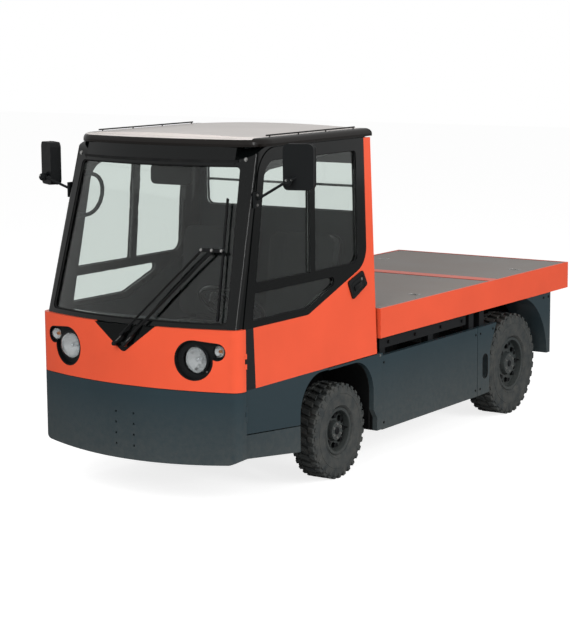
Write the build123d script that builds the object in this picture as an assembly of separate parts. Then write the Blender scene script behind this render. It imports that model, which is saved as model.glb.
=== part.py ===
from build123d import *
import os
from math import atan2, cos, degrees, hypot, pi, radians, sin

# Electric baggage tug with an enclosed cab and a flat load deck.
# Millimetres. Drawing frame: x to the vehicle's left, y to the rear from the
# front axle, z up from the ground. save() moves every piece by -MIDDLE_Y, so
# that the origin lies on the ground at the middle of the whole length.

# ---------------------------------------------------------------- driving sizes
DECK_HALF = 650            # half width over the load deck
CAB_HALF = 640             # half width over the doors at the waist
WHEELBASE = 2052
NOSE_Y = -1106             # foremost point of the bowed front
DECK_Y0, DECK_Y1 = 370, 2757
FRONT_Y = -1152.2          # foremost point of the wiper
MIDDLE_Y = (FRONT_Y + DECK_Y1) / 2

WAIST_Z = 645              # joint between dark lower body and orange band
BELT_Z = 963               # foot of the glass
EAVES_Z = 1862             # top of the cab walls
DECK_Z, DECK_DEEP = 900, 169
SILL_Z = 424               # foot of the door at its front edge
SKIRT_Z0, SKIRT_Z1 = 200, 625
CAB_BACK = 352             # rear face of the cab
TUMBLE = 2.15              # degrees that the cab sides lean in above the waist
LEAF = 32                  # thickness of a door leaf
GAP = 5                    # gap round doors and other moving pieces
SEAT = 0.3                 # a piece's play against what carries it
SHELL_T = 24               # wall of the bowed front
REAR_WALL_T = 35

# wheels: outer radius, rim flange radius, section width, outer face x, axle y
FRONT = dict(r=266, flange=131, width=160, face=617, y=0)
REAR = dict(r=322, flange=168, width=186, face=609, y=WHEELBASE)
KINGPIN_X = 452
PIN = 14                   # kingpin radius

# front bow: y of the plan curve at its corners; corner rounding
NOSE_CORNER_Y, NOSE_HALF, NOSE_ROUND = -989, 648, 62
RAKE = 0.28                # rearward run of the windscreen per unit of height


# ---------------------------------------------------------------- small helpers
def outline(points, radii=0):
    """Closed face in the XY plane with each corner rounded by its radius."""
    if not radii:
        return make_face(Polyline(*points, close=True))
    return make_face(FilletPolyline(*points, radius=radii, close=True))


def across(points, x0, x1, radii=0):
    """Profile of (y, z) points drawn out along x."""
    plane = Plane(origin=(x0, 0, 0), x_dir=(0, 1, 0), z_dir=(1, 0, 0))
    return extrude(plane * outline(points, radii), amount=x1 - x0)


def along(points, y0, y1, radii=0):
    """Profile of (x, z) points drawn out along y."""
    plane = Plane(origin=(0, y1, 0), x_dir=(1, 0, 0), z_dir=(0, -1, 0))
    return extrude(plane * outline(points, radii), amount=y1 - y0)


def upward(points, z0, z1, radii=0):
    """Profile of (x, y) points drawn out along z."""
    return extrude(Plane.XY.offset(z0) * outline(points, radii), amount=z1 - z0)


def block(x0, x1, y0, y1, z0, z1):
    return Pos((x0 + x1) / 2, (y0 + y1) / 2, (z0 + z1) / 2) * Box(x1 - x0, y1 - y0, z1 - z0)


def rod(start, end, radius):
    way = Vector(*end) - Vector(*start)
    return extrude(Plane(origin=start, z_dir=way) * Circle(radius), amount=way.length)


def turned(points, centre, radii=0):
    """Profile of (x, radius) points turned about the wheel axis through centre (y, z)."""
    ring = revolve(outline(points, radii), Axis.X)
    return Pos(0, centre[0], centre[1]) * ring


def mirrored(shape):
    return mirror(shape, about=Plane.YZ)


def both(shape):
    """A shape and its mirror image as one thing to add or cut."""
    return Compound(children=[*shape.solids(), *mirrored(shape).solids()])


def pair(shape):
    """Like pieces of both sides in one node, as solids that do not touch."""
    return both(shape)


def side_plane(depth=0):
    """Plane of the left cab side above the waist; local x is y, local y runs up."""
    lean = radians(TUMBLE)
    out = Vector(cos(lean), 0, sin(lean))
    foot = Vector(CAB_HALF, 0, WAIST_Z) - out * depth
    return Plane(origin=foot, x_dir=(0, 1, 0), z_dir=out)


def side_slab(points, depth, thick, radii=0):
    """Slab in the left cab side, from depth below its surface outward by thick."""
    return extrude(side_plane(depth) * outline(points, radii), amount=thick)


def side_at(z):
    """x of the left cab side's outer face at height z."""
    return CAB_HALF - max(z - WAIST_Z, 0) * sin(radians(TUMBLE)) / cos(radians(TUMBLE))


def save(name, shape):
    """One node: its solids, moved into the part's own frame."""
    solids = [s.moved(Location((0, -MIDDLE_Y, 0))) for s in shape.solids()]
    whole = solids[0] if len(solids) == 1 else Compound(children=solids)
    export_step(whole, f"parts/{name}.step")
    print(f"{name}: {len(solids)} solid(s)")


# ---------------------------------------------------------------- door hinges
# Two barrel hinges in the seam before each door: the leaf carries the pin and the
# middle knuckle, the apron and the front panel carry the outer knuckles.
HINGE_X, HINGE_Y = 644, -928
HINGES = (530, 800)          # heights
HINGE_HALF, HINGE_MID = 40, 13
HINGE_R, HINGE_PIN = 7, 3.5


def hinge_rod(z0, z1, radius):
    return rod((HINGE_X, HINGE_Y, z0), (HINGE_X, HINGE_Y, z1), radius)


def with_hinge(body, z):
    """Fixed half of a hinge on both sides of a body."""
    body = body - both(hinge_rod(z - HINGE_MID, z + HINGE_MID, HINGE_R + GAP))
    for z0, z1 in ((z - HINGE_HALF, z - HINGE_MID), (z + HINGE_MID, z + HINGE_HALF)):
        body = body + both(hinge_rod(z0, z1, HINGE_R))
    return body - both(hinge_rod(z - HINGE_HALF - 1, z + HINGE_HALF + 1, HINGE_PIN + SEAT))


# ---------------------------------------------------------------- front body
def nose(z0, z1, inset=0, back=-930):
    """Solid behind the bowed front, between two heights."""
    half, corner, tip = NOSE_HALF - inset, NOSE_CORNER_Y + inset, NOSE_Y + inset
    bow = ThreePointArc((-half, corner), (0, tip), (half, corner))
    rest = Polyline((half, corner), (half, -700), (-half, -700), (-half, corner))
    face = make_face([bow, rest])
    corners = [v for v in face.vertices() if abs(v.Y - corner) < 1]
    face = fillet(corners, max(NOSE_ROUND - inset, 8))
    return extrude(Plane.XY.offset(z0) * face, amount=z1 - z0) - block(-800, 800, back, -600, z0 - 1, z1 + 1)


def front_y(x):
    """y of the bowed front at x."""
    return NOSE_Y + (NOSE_CORNER_Y - NOSE_Y) * (x / NOSE_HALF) ** 2


# lamps: x, z, radius of the lens, radius of its recess
LAMPS = dict(head=(412, 803, 69, 104), turn=(535, 851, 32, 45))
BEZEL_DEEP = 24              # depth of the lamp recess below the panel's face
V_TOP_HALF, V_Z, V_ROUND = 200, 813, 30
APRON_HOLE_X, APRON_HOLE_R = 58, 6.5
APRON_HOLE_Z = (330, 387, 444, 500)


def recess_outline(grow=0):
    """Two rounds of a lamp recess joined by their upper tangent, as a solid along y."""
    hx, hz, _, hr = LAMPS["head"]
    tx, tz, _, tr = LAMPS["turn"]
    hr, tr = hr + grow, tr + grow
    gap = hypot(tx - hx, tz - hz)
    turn = atan2(tz - hz, tx - hx)
    touch = turn + pi / 2 - (hr - tr) / gap
    tops = [(hx + hr * cos(touch), hz + hr * sin(touch)), (tx + tr * cos(touch), tz + tr * sin(touch))]
    bridge = outline([(hx, hz), (tx, tz), tops[1], tops[0]])
    face = Pos(hx, hz) * Circle(hr) + Pos(tx, tz) * Circle(tr) + bridge
    plane = Plane(origin=(0, -900, 0), x_dir=(1, 0, 0), z_dir=(0, -1, 0))
    return extrude(plane * face, amount=300)


def wiper_wedge(grow=0):
    points = [(-V_TOP_HALF, BELT_Z + 60), (V_TOP_HALF, BELT_Z + 60), (V_TOP_HALF, BELT_Z), (0, V_Z), (-V_TOP_HALF, BELT_Z)]
    face = offset(outline(points, [0, 0, 0, V_ROUND, 0]), amount=grow, kind=Kind.INTERSECTION) if grow else \
        outline(points, [0, 0, 0, V_ROUND, 0])
    plane = Plane(origin=(0, -960, 0), x_dir=(1, 0, 0), z_dir=(0, -1, 0))
    return extrude(plane * face, amount=-960 - NOSE_Y + 20)


def front_panel():
    shell = nose(WAIST_Z + 1.5, BELT_Z) - nose(WAIST_Z, BELT_Z + 1, SHELL_T, -900)
    lamp = recess_outline(SEAT)
    shell = shell - lamp - mirrored(lamp) - wiper_wedge(SEAT)
    return with_hinge(shell, HINGES[1])


def wiper_cover():
    """Black wedge that hides the wiper motor, with a raised boss for its spindle."""
    plate = (nose(V_Z - 5, BELT_Z - 4, 1) - nose(V_Z - 10, BELT_Z, 24, -900)) & wiper_wedge()
    inside = nose(V_Z - 40, BELT_Z, 24, -900)
    bosses = wiper_spindles() - (nose(V_Z - 40, BELT_Z) - wiper_wedge()) - inside
    return plate + bosses


def lamp_bezels():
    """Recessed black housing: a tray in the opening, its floor sunk behind the panel's face."""
    wall = nose(WAIST_Z + 20, BELT_Z - 10, 2) - nose(WAIST_Z, BELT_Z, BEZEL_DEEP + 14, -900)
    pocket = recess_outline(-5) - nose(WAIST_Z, BELT_Z, BEZEL_DEEP)
    tray = (wall & recess_outline()) - pocket
    for x, z, lens, _ in LAMPS.values():
        tray = tray - rod((x, NOSE_Y - 50, z), (x, -900, z), lens + 0.4)
    return pair(tray)


def lenses(key):
    x, z, lens, _ = LAMPS[key]
    seat = front_y(x) + BEZEL_DEEP + 12
    dome = rod((x, seat, z), (x, seat - 28, z), lens)
    dome = fillet(dome.faces().sort_by(Axis.Y)[0].edges(), lens * 0.22)
    return pair(dome)


def foot_cut():
    """What is cut from under the apron: a shallow arc that turns up at both ends."""
    half, low, end, side = 600, 255, 273, 298
    arc = ThreePointArc((-half, end), (0, low), (half, end))
    rest = Polyline((half, end), (644, side), (720, side), (720, 100), (-720, 100), (-720, side), (-644, side), (-half, end))
    plane = Plane(origin=(0, -880, 0), x_dir=(1, 0, 0), z_dir=(0, -1, 0))
    face = fillet([v for v in make_face([arc, rest]).vertices() if abs(v.Y - end) < 0.1], 60)
    return extrude(plane * face, amount=400)


def front_apron():
    """Thick curved apron with a swept foot, drilled for a push plate, and the side sills."""
    wall = nose(180, WAIST_Z - 1.5) - nose(170, WAIST_Z + 1, SHELL_T, -900)
    wall = wall - foot_cut()
    for x in (-APRON_HOLE_X, APRON_HOLE_X):
        for z in APRON_HOLE_Z:
            wall = wall - rod((x, NOSE_Y - 20, z), (x, NOSE_Y + 60, z), APRON_HOLE_R)
    sill = across([(-935, 298), (-935, SILL_Z - GAP), (-428, SILL_Z - 43 - GAP), (-428, 236)], CAB_HALF - 30, CAB_HALF)
    return with_hinge(wall + sill + mirrored(sill), HINGES[0])


# ---------------------------------------------------------------- cab shell
# plan sections of the cab above the belt: height, y of the screen's corners
SECTION_Z = (BELT_Z + SEAT, EAVES_Z)


SCREEN_HALF, SCREEN_Z, SCREEN_ROUND = (572, 518), (986, 1768), 26     # half widths at foot and head
SCREEN_CORNER_Y, SCREEN_BOW = -975, 112


def cab_section(z, inset):
    half = side_at(z) - 4 - inset
    corner = SCREEN_CORNER_Y + RAKE * (z - BELT_Z) + inset
    tip = corner - SCREEN_BOW
    bow = ThreePointArc((-half, corner), (0, tip), (half, corner))
    back = CAB_BACK - REAR_WALL_T - SEAT
    rest = Polyline((half, corner), (half, back), (-half, back), (-half, corner))
    face = make_face([bow, rest])
    front = [v for v in face.vertices() if abs(v.Y - corner) < 1]
    return Plane.XY.offset(z) * fillet(front, 34 if inset < 40 else 12)


# door leaf in the leaning side plane: (y, height above the waist)
LEAF_TOP = EAVES_Z - WAIST_Z - 6
LEAF_FRONT, LEAF_REAR = -922, 347
LEAF_POINTS = [(LEAF_FRONT, 312), (-708, LEAF_TOP), (LEAF_REAR, LEAF_TOP), (LEAF_REAR, 3), (LEAF_FRONT, 3)]
LEAF_RADII = [0, 170, 0, 0, 0]
# black window frame: outer loop, rounding of each corner
FRAME_POINTS = [(LEAF_FRONT, 312), (-330, 312), (270, 523), (277, LEAF_TOP), (-708, LEAF_TOP)]
FRAME_RADII = [0, 90, 140, 0, 170]


def grown(points, radii, by):
    """Rounded loop moved out by the same distance all round."""
    return offset(outline(points, radii), amount=by, kind=Kind.INTERSECTION)


def cab_frame():
    """Pillars, screen header and side rails as one hollow frame."""
    outer = loft([cab_section(z, 0) for z in SECTION_Z], ruled=True)
    inner = loft([cab_section(z, 52) for z in (SECTION_Z[0] - 3, SECTION_Z[1] + 3)], ruled=True)
    inner = inner + block(-500, 500, -500, CAB_BACK, BELT_Z - 10, EAVES_Z + 10)
    shell = outer - inner
    (foot, head), (z0, z1) = SCREEN_HALF, SCREEN_Z
    shell = shell - along([(-foot, z0), (foot, z0), (head, z1), (-head, z1)], -1200, -300, SCREEN_ROUND)
    leaf = extrude(side_plane(LEAF + GAP) * grown(LEAF_POINTS, LEAF_RADII, GAP), amount=120)
    door_way = [(-840, 250), (-665, 1090), (240, 1160), (240, 250)]
    way = side_slab(door_way, 120, 300, [0, 120, 30, 0])
    line = SCREEN_CORNER_Y - 45 - RAKE * 100
    kept = [(line, BELT_Z - 100), (line + RAKE * (EAVES_Z + 1 - BELT_Z + 100), EAVES_Z + 1), (500, EAVES_Z + 1), (500, BELT_Z - 100)]
    corner = block(485, 700, -900, -500, 1650, 1900) - across(kept, 480, 710, [0, 190, 0, 0])
    for cut in (leaf, way, corner):
        shell = shell - cut - mirrored(cut)
    return shell


def windscreen():
    """Bowed pane set in the frame, 6 thick, with its edge hidden behind the frame's lip."""
    outer = loft([cab_section(z, 12) for z in (984, 1772)], ruled=True)
    inner = loft([cab_section(z, 18) for z in (983, 1773)], ruled=True)
    pane = outer - inner
    foot, head = SCREEN_HALF[0] - SEAT, SCREEN_HALF[1] - SEAT
    z0, z1 = SCREEN_Z[0] + SEAT, SCREEN_Z[1] - SEAT
    return pane & along([(-foot, z0), (foot, z0), (head, z1), (-head, z1)], -1200, -650, SCREEN_ROUND)


REAR_WINDOW = dict(half=510, z0=1437, z1=1711, round=40)


def rear_opening(grow, y0, y1):
    h, z0, z1, r = (REAR_WINDOW[k] for k in ("half", "z0", "z1", "round"))
    pts = [(-h - grow, z0 - grow), (h + grow, z0 - grow), (h + grow, z1 + grow), (-h - grow, z1 + grow)]
    return along(pts, y0, y1, r + grow)


def cab_rear_wall():
    """Rear wall with its window opening, and the guard bar across it."""
    lo, hi = side_at(WAIST_Z) - LEAF - GAP, side_at(EAVES_Z) - LEAF - GAP
    wall = along([(-lo, WAIST_Z), (lo, WAIST_Z), (hi, EAVES_Z), (-hi, EAVES_Z)], CAB_BACK - REAR_WALL_T, CAB_BACK)
    wall = wall - rear_opening(0, CAB_BACK - 50, CAB_BACK + 10)
    bar_y = CAB_BACK + 22
    bar = rod((-540, bar_y, 1578), (540, bar_y, 1578), 7)
    for x in (-533, 533):
        bar = bar + rod((x, CAB_BACK - 2, 1578), (x, bar_y, 1578), 5)
    return wall + bar


def rear_window():
    return rear_opening(-0.2, CAB_BACK - 20, CAB_BACK - 14)


ROOF_WELL = 31               # height of the well floor in the roof above the walls


def roof_plan():
    half, corner, back = 600, -744, CAB_BACK + 6
    bow = ThreePointArc((-half, corner), (0, corner - 74), (half, corner))
    rest = Polyline((half, corner), (half, back), (-half, back), (-half, corner))
    face = make_face([bow, rest])
    return fillet([v for v in face.vertices() if v.Y < 0], 165)


def roof():
    """Rim and shell of the roof with a rounded eaves edge and a bowed front lip."""
    face = roof_plan()
    slab = extrude(Plane.XY.offset(EAVES_Z + SEAT) * face, amount=43 - SEAT)
    slab = fillet(slab.faces().sort_by(Axis.Z)[-1].edges(), 30)
    lined = offset(face, amount=-60, kind=Kind.INTERSECTION)
    slab = slab - extrude(Plane.XY.offset(EAVES_Z + ROOF_WELL) * lined, amount=20)
    rails = [rail(side) for side in (-1, 1)]
    return slab + rails[0] + rails[1]


RAIL_POSTS = (-566, -301, -37, 239)


def rail(side):
    """Thin roof rail on stand-offs."""
    x, z = side * 552, EAVES_Z + 52
    bar = rod((x, RAIL_POSTS[0] - 30, z), (x, RAIL_POSTS[-1] + 12, z), 4)
    for y in RAIL_POSTS:
        bar = bar + rod((x, y, EAVES_Z + 40), (x, y, z), 3.5)
    return bar


def roof_skin():
    """Crowned pale panel inside the rim."""
    half, crown = 542, 16
    base = EAVES_Z + ROOF_WELL + SEAT
    slab = extrude(Plane.XY.offset(base) * offset(roof_plan(), amount=-60 - SEAT, kind=Kind.INTERSECTION), amount=60)
    edge = base + 12
    arch_line = ThreePointArc((-half - 5, edge), (0, edge + crown), (half + 5, edge))
    under = Polyline((half + 5, edge), (half + 5, base - 5), (-half - 5, base - 5), (-half - 5, edge))
    plane = Plane(origin=(0, 400, 0), x_dir=(1, 0, 0), z_dir=(0, -1, 0))
    return slab & extrude(plane * make_face([arch_line, under]), amount=1400)


# ---------------------------------------------------------------- inside the cab
FLOOR_Z = 400
HORN_TOP = 376               # top of the frame's front horns, under the floor
BULKHEAD_Y = -928            # rear face of the bulkhead
SEAT_BOX_Z = 700
ARCH_SKIN = 5                # wall of the wheel arch liners


def cab_floor():
    """Floor pan, front bulkhead, and the seat box over the wheels and motor."""
    foot = HORN_TOP + SEAT
    floor = block(-600, 600, BULKHEAD_Y - 6, -430, foot, FLOOR_Z)
    bulkhead = nose(foot, 900, SHELL_T + SEAT, BULKHEAD_Y) - block(-700, 700, -1200, BULKHEAD_Y - 6, 300, 1000)
    bulkhead = bulkhead - both(block(CAB_HALF - 30 - SEAT, 700, -1000, -900, 300, SILL_Z))
    riser = block(-600, 600, -442, -430, foot, SEAT_BOX_Z)
    pan = floor + riser
    for x in (-262, 262):
        pan = pan - block(x - 32, x + 32, -462, -428, FLOOR_Z - 25, 425)
    rear = CAB_BACK - REAR_WALL_T - SEAT
    top = block(-565, 565, -430, rear, ARCH_TOP + ARCH_SKIN + SEAT, SEAT_BOX_Z)
    housing = block(-228, 228, -430, rear, 510, WAIST_Z + 10)
    return pan + bulkhead + top + housing


def seats():
    """Two bucket seats, each a cushion and a back, on the seat box."""
    cushion = block(65, 525, -350, 110, SEAT_BOX_Z + SEAT, 800)
    cushion = fillet(cushion.edges().filter_by(Axis.Z), 50)
    back = across([(60, 800), (170, 800), (235, 1330), (140, 1330)], 75, 515, [10, 10, 40, 40])
    return pair(cushion + back)


WHEEL_HUB = Vector(300, -560, 1015)     # centre of the steering wheel
COLUMN_TILT = 38                        # degrees from upright
HUB_DEEP = 36
COLUMN_WAY = Vector(0, sin(radians(COLUMN_TILT)), cos(radians(COLUMN_TILT)))


def dashboard():
    """Dash under the screen with the steering column."""
    wall = BULKHEAD_Y + SEAT
    body = across([(wall, 820), (wall, 950), (-800, 955), (-740, 900), (-760, 820)], -560, 560, [0, 10, 30, 20, 10])
    foot = WHEEL_HUB - COLUMN_WAY * 555
    top = WHEEL_HUB - COLUMN_WAY * (HUB_DEEP + SEAT)
    column = rod(tuple(foot), tuple(top), 30)
    cowl = across([(-800, 824), (-745, 902), (-645, 878), (-700, 770)], WHEEL_HUB.X - 40, WHEEL_HUB.X + 40)
    shelf = extrude(Plane.XY.offset(-38) * cab_section(BELT_Z, 52 + SEAT), amount=26)
    shelf = shelf & block(-540, 540, -1200, wall + 40, 900, 1000)
    return body + shelf + column + cowl


def steering_wheel():
    plane = Plane(origin=WHEEL_HUB, z_dir=COLUMN_WAY)
    rim = plane * revolve(Plane.XZ * Pos(170, 0) * RegularPolygon(13.5, 8), Axis.Z)
    hub = plane * (Pos(0, 0, -HUB_DEEP / 2) * Cylinder(34, HUB_DEEP))
    spokes = plane * (Pos(0, 0, -6) * Box(336, 30, 12) + Pos(0, -84, -6) * Box(30, 168, 12))
    return rim + hub + spokes


# ---------------------------------------------------------------- sides
ARCH_TOP = 631
ARCH = [(-423, 100), (-423, ARCH_TOP), (312, ARCH_TOP), (312, 331), (349, 281), (349, 100)]
ARCH_RADII = [0, 210, 200, 0, 0, 0]


def arch(x0, x1):
    return across(ARCH, x0, x1, ARCH_RADII)


def side_panels():
    """Fixed panel behind the front wheel, with the strip over the arch."""
    plate = block(CAB_HALF - 30, CAB_HALF, -150, 408, 206, WAIST_Z - 2)
    return pair(plate - arch(500, 700))


def wheel_arches():
    """Liner that boxes in each front wheel, open below and to the outside."""
    skin = ARCH_SKIN
    grown_arch = [(-423 - skin, 240), (-423 - skin, ARCH_TOP + skin), (312 + skin, ARCH_TOP + skin),
                  (312 + skin, 331), (349 + skin, 281), (349 + skin, 206)]
    outer = across(grown_arch, 303, CAB_HALF - 30 - SEAT, ARCH_RADII)
    hollow = arch(303 + skin, CAB_HALF)
    axle_slot = block(290, 320, -62, 62, 150, 345)
    return pair(outer - hollow - axle_slot)


SKIRT_X = CAB_HALF - 35      # inner face of the side covers


def side_skirts():
    """Upright covers between the wheels."""
    panel = block(SKIRT_X, SKIRT_X + 30, 413, 1536, SKIRT_Z0, SKIRT_Z1)
    return pair(panel)


def skirt_ends():
    """Short cover before the rear wheel, its rear edge swept round the tyre, with a grip slot."""
    points = [(1541, SKIRT_Z0), (1541, SKIRT_Z1), (1782, SKIRT_Z1 + 3), (1700, 470), (1690, SKIRT_Z0 + 4)]
    panel = across(points, SKIRT_X, SKIRT_X + 30, [0, 0, 0, 150, 0])
    slot = across([(1608, 300), (1608, 450), (1668, 450), (1668, 300)], CAB_HALF - 60, CAB_HALF, 29)
    return pair(panel - slot)


FENDER_X = 610               # inner face of the rear fenders' side plates
TAIL_Y = 2500                # front face of the tail plate


def rear_fenders():
    """Corner bracket behind each rear wheel: side plate and curved liner."""
    y_back, z0, z1 = 2530, 330, DECK_Z - DECK_DEEP - SEAT
    clear = REAR["r"] + 48
    plate = block(FENDER_X, FENDER_X + 26, 2150, y_back, z0, z1)
    sweep = rod((0, WHEELBASE, REAR["r"] - 10), (700, WHEELBASE, REAR["r"] - 10), clear + 62)
    plate = plate - sweep
    inner, outer = 412, FENDER_X + 2
    liner = rod((inner, WHEELBASE, REAR["r"] - 10), (outer, WHEELBASE, REAR["r"] - 10), clear + 74) - sweep
    liner = liner & block(inner, outer, 2150, TAIL_Y - SEAT, z0, z1)
    return pair(plate + liner)


# ---------------------------------------------------------------- load deck
RIM_T = 12
DECK_FOOT = DECK_Z - DECK_DEEP
CROSS_Y = (1686, 1786)       # the cross member between the two floor plates


def deck_frame():
    """Orange channel frame with a flush cross member and bearers under the plates."""
    ring = block(-DECK_HALF, DECK_HALF, DECK_Y0, DECK_Y1, DECK_FOOT, DECK_Z)
    ring = ring - block(-DECK_HALF + RIM_T, DECK_HALF - RIM_T, DECK_Y0 + RIM_T, DECK_Y1 - RIM_T, 0, 1000)
    flange = block(-DECK_HALF + 1, DECK_HALF - 1, DECK_Y0 + 1, DECK_Y1 - 1, DECK_FOOT, DECK_FOOT + 10)
    flange = flange - block(-DECK_HALF + 62, DECK_HALF - 62, DECK_Y0 + 62, DECK_Y1 - 62, 0, 1000)
    ledge = block(-DECK_HALF + 1, DECK_HALF - 1, DECK_Y0 + 1, DECK_Y1 - 1, DECK_Z - 34, DECK_Z - 26)
    ledge = ledge - block(-DECK_HALF + 50, DECK_HALF - 50, DECK_Y0 + 50, DECK_Y1 - 50, 0, 1000)
    frame = ring + flange + ledge
    frame = frame + block(-DECK_HALF + 1, DECK_HALF - 1, *CROSS_Y, DECK_Z - 60, DECK_Z)
    for y in (790, 1240, 2230):
        frame = frame + block(-DECK_HALF + 1, DECK_HALF - 1, y - 30, y + 30, DECK_Z - 90, DECK_Z - 26)
    return frame


def deck_plates():
    """Two lift-out floor plates."""
    edge, top = DECK_HALF - RIM_T - 2, DECK_Z - 3
    front = block(-edge, edge, DECK_Y0 + RIM_T + 2, CROSS_Y[0] - 2, DECK_Z - 25.5, top)
    rear = block(-edge, edge, CROSS_Y[1] + 2, DECK_Y1 - RIM_T - 2, DECK_Z - 25.5, top)
    return Compound(children=[front.solid(), rear.solid()])


# ---------------------------------------------------------------- frame and axles
RAIL_Z, RAIL_X = (480, 600), (345, 395)


def chassis_frame():
    """Ladder frame: low horns under the cab floor, kicked up over the front axle, then a
    wider rear frame with outriggers to the deck and skirts."""
    horn = across([(-915, 290), (-470, 290), (-340, 400), (480, 400), (480, 500), (-365, 500), (-455, HORN_TOP),
                   (-915, HORN_TOP)], 235, 290)
    beam = block(*RAIL_X, 440, TAIL_Y - SEAT, *RAIL_Z)
    frame = horn + mirrored(horn) + beam + mirrored(beam) + block(-395, 395, 440, 482, 400, RAIL_Z[1])
    for y in (-900, -520):
        frame = frame + block(-240, 240, y, y + 60, 290, HORN_TOP)
    for y in (1480, 2440):
        frame = frame + block(-350, 350, y, y + 56, *RAIL_Z)
    for y in (461, 1010, 1508, 1640):
        outer = block(390, SKIRT_X - SEAT, y - 20, y + 20, 545, 600)
        stand = block(560, SKIRT_X - SEAT, y - 30, y + 30, 600, DECK_FOOT - SEAT)
        frame = frame + outer + stand + mirrored(outer) + mirrored(stand)
    for y in (1720, 2460):
        post = block(*RAIL_X, y - 30, y + 30, 595, DECK_FOOT - SEAT)
        frame = frame + post + mirrored(post)
    side = block(590, 622, 402, 1406, 664, 721)
    return frame + side + mirrored(side)


def battery():
    half = RAIL_X[0] - SEAT
    return block(-half, half, 500, 1460, 215, 640)


def front_axle():
    """Beam axle on leaf springs under the frame rails, forked for the kingpins."""
    z = FRONT["r"]
    beam = block(-420, 420, -32, 32, z - 30, z + 30)
    for side in (-1, 1):
        x = side * KINGPIN_X
        fork = block(x - 34, x + 34, -30, 30, z - 58, z - 38) + block(x - 34, x + 34, -30, 30, z + 38, z + 58)
        inner = x - side * 42
        web = block(min(inner, inner - side * 24), max(inner, inner - side * 24), -30, 30, z - 58, z + 58)
        link_lo = block(min(x, inner), max(x, inner), -30, 30, z - 58, z - 38)
        link_hi = block(min(x, inner), max(x, inner), -30, 30, z + 38, z + 58)
        beam = beam + fork + web + link_lo + link_hi
        beam = beam - rod((x, 0, z - 80), (x, 0, z + 80), PIN + 0.3)
        beam = beam + leaf_spring(side * 262, 0, z + 22, 330, 399.5)
    return beam


def leaf_spring(x, y, seat_z, half, top):
    """Bowed leaf pack from its seat on the axle up to the rail at both ends."""
    lower = ThreePointArc((y - half, top - 6), (y, seat_z), (y + half, top - 6))
    upper = ThreePointArc((y + half, top + 6), (y, seat_z + 34), (y - half, top + 6))
    ends = [Line((y + half, top - 6), (y + half, top + 6)), Line((y - half, top + 6), (y - half, top - 6))]
    plane = Plane(origin=(x - 25, 0, 0), x_dir=(0, 1, 0), z_dir=(1, 0, 0))
    pack = extrude(plane * make_face([lower, upper, *ends]), amount=50)
    return pack - block(x - 60, x + 60, y - half - 5, y + half + 5, top, top + 60)


def knuckle():
    """Left knuckle: kingpin, hub carrier, stub axle and steering arm."""
    z = FRONT["r"]
    pin = rod((KINGPIN_X, 0, z - 80), (KINGPIN_X, 0, z + 64), PIN)
    body = rod((KINGPIN_X, 0, z - 37.5), (KINGPIN_X, 0, z + 37.5), 30)
    stub = rod((KINGPIN_X, 0, z), (FRONT["face"] - 40, 0, z), 20)
    arm = upward([(KINGPIN_X - 22, -18), (KINGPIN_X + 18, -18), (KINGPIN_X + 16, 24), (KINGPIN_X - 28, 150), (KINGPIN_X - 56, 150)], z - 80, z - 64)
    return pin + body + stub + arm


def rear_axle():
    """Drive axle with its gear case, traction motor and leaf springs."""
    z = REAR["r"]
    y = WHEELBASE
    tube = rod((-410, y, z), (410, y, z), 52)
    case = Pos(0, y, z) * Sphere(135)
    motor = rod((0, y - 60, z), (0, y - 420, z + 20), 120)
    axle = tube + case + motor + rod((-560, y, z), (560, y, z), 20)
    for side in (-1, 1):
        axle = axle + leaf_spring(side * 370, y, z + 45, 400, RAIL_Z[0] - 0.5)
    return axle


# ---------------------------------------------------------------- wheels
LUGS = 32                    # tread blocks round one shoulder
LUG_DEEP = 13
LUG_FACE = 0.27              # half the length of a lug's face, in pitches


def tyre(size):
    """Carcass with two staggered rows of tread blocks."""
    r, flange, w, face, y = (size[k] for k in ("r", "flange", "width", "face", "y"))
    base = r - LUG_DEEP
    x0, x1 = face - w, face
    bead = flange - 9
    points = [(x0 + 22, bead), (x0 + 22, flange), (x0 + 5, flange + 12), (x0, (flange + base) / 2), (x0 + 12, base),
              (x1 - 12, base), (x1, (flange + base) / 2), (x1 - 5, flange + 12), (x1 - 22, flange), (x1 - 22, bead)]
    body = turned(points, (y, r))
    mid = (x0 + x1) / 2
    crown = r / cos((0.5 - LUG_FACE) * 2 * pi / LUGS)        # the lowest lug edges touch the ground
    for row, (a, b) in enumerate(((x0 + 8, mid - 6), (mid + 6, x1 - 8))):
        teeth = []
        for k in range(LUGS):
            turn = 2 * pi * (k + 0.5 * row) / LUGS
            for at, rad in ((-0.31, base - 4), (-LUG_FACE, crown), (LUG_FACE, crown), (0.31, base - 4)):
                ang = turn + at * 2 * pi / LUGS
                teeth.append((rad * cos(ang), rad * sin(ang)))
        ring = across(teeth, a, b) - rod((a - 1, 0, 0), (b + 1, 0, 0), base - 14)
        body = body + Pos(0, y, r) * ring
    return body


def rim(size):
    """Pressed disc wheel with a well, a bolt circle land and a protruding hub."""
    r, flange, w, face, y = (size[k] for k in ("r", "flange", "width", "face", "y"))
    x0, x1 = face - w, face
    barrel = flange - 9.4
    bore = 20.3
    points = [
        (x0 + 14, flange), (x0 + 14, barrel - 8), (x1 - 70, barrel - 8), (x1 - 62, barrel * 0.55),
        (x1 - 78, barrel * 0.5), (x1 - 78, bore), (x1 - 34, bore), (x1 - 22, 18), (x1 - 22, barrel * 0.42),
        (x1 - 48, barrel * 0.48), (x1 - 50, barrel - 14), (x1 - 14, barrel - 8), (x1 - 14, flange), (x1 - 21.5, flange),
        (x1 - 21.5, barrel), (x0 + 21.5, barrel), (x0 + 21.5, flange)]
    return turned(points, (y, r))


# ---------------------------------------------------------------- tail
TOW_Y, TOW_Z, TOW_PIN = 2690, 400, 16


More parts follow.
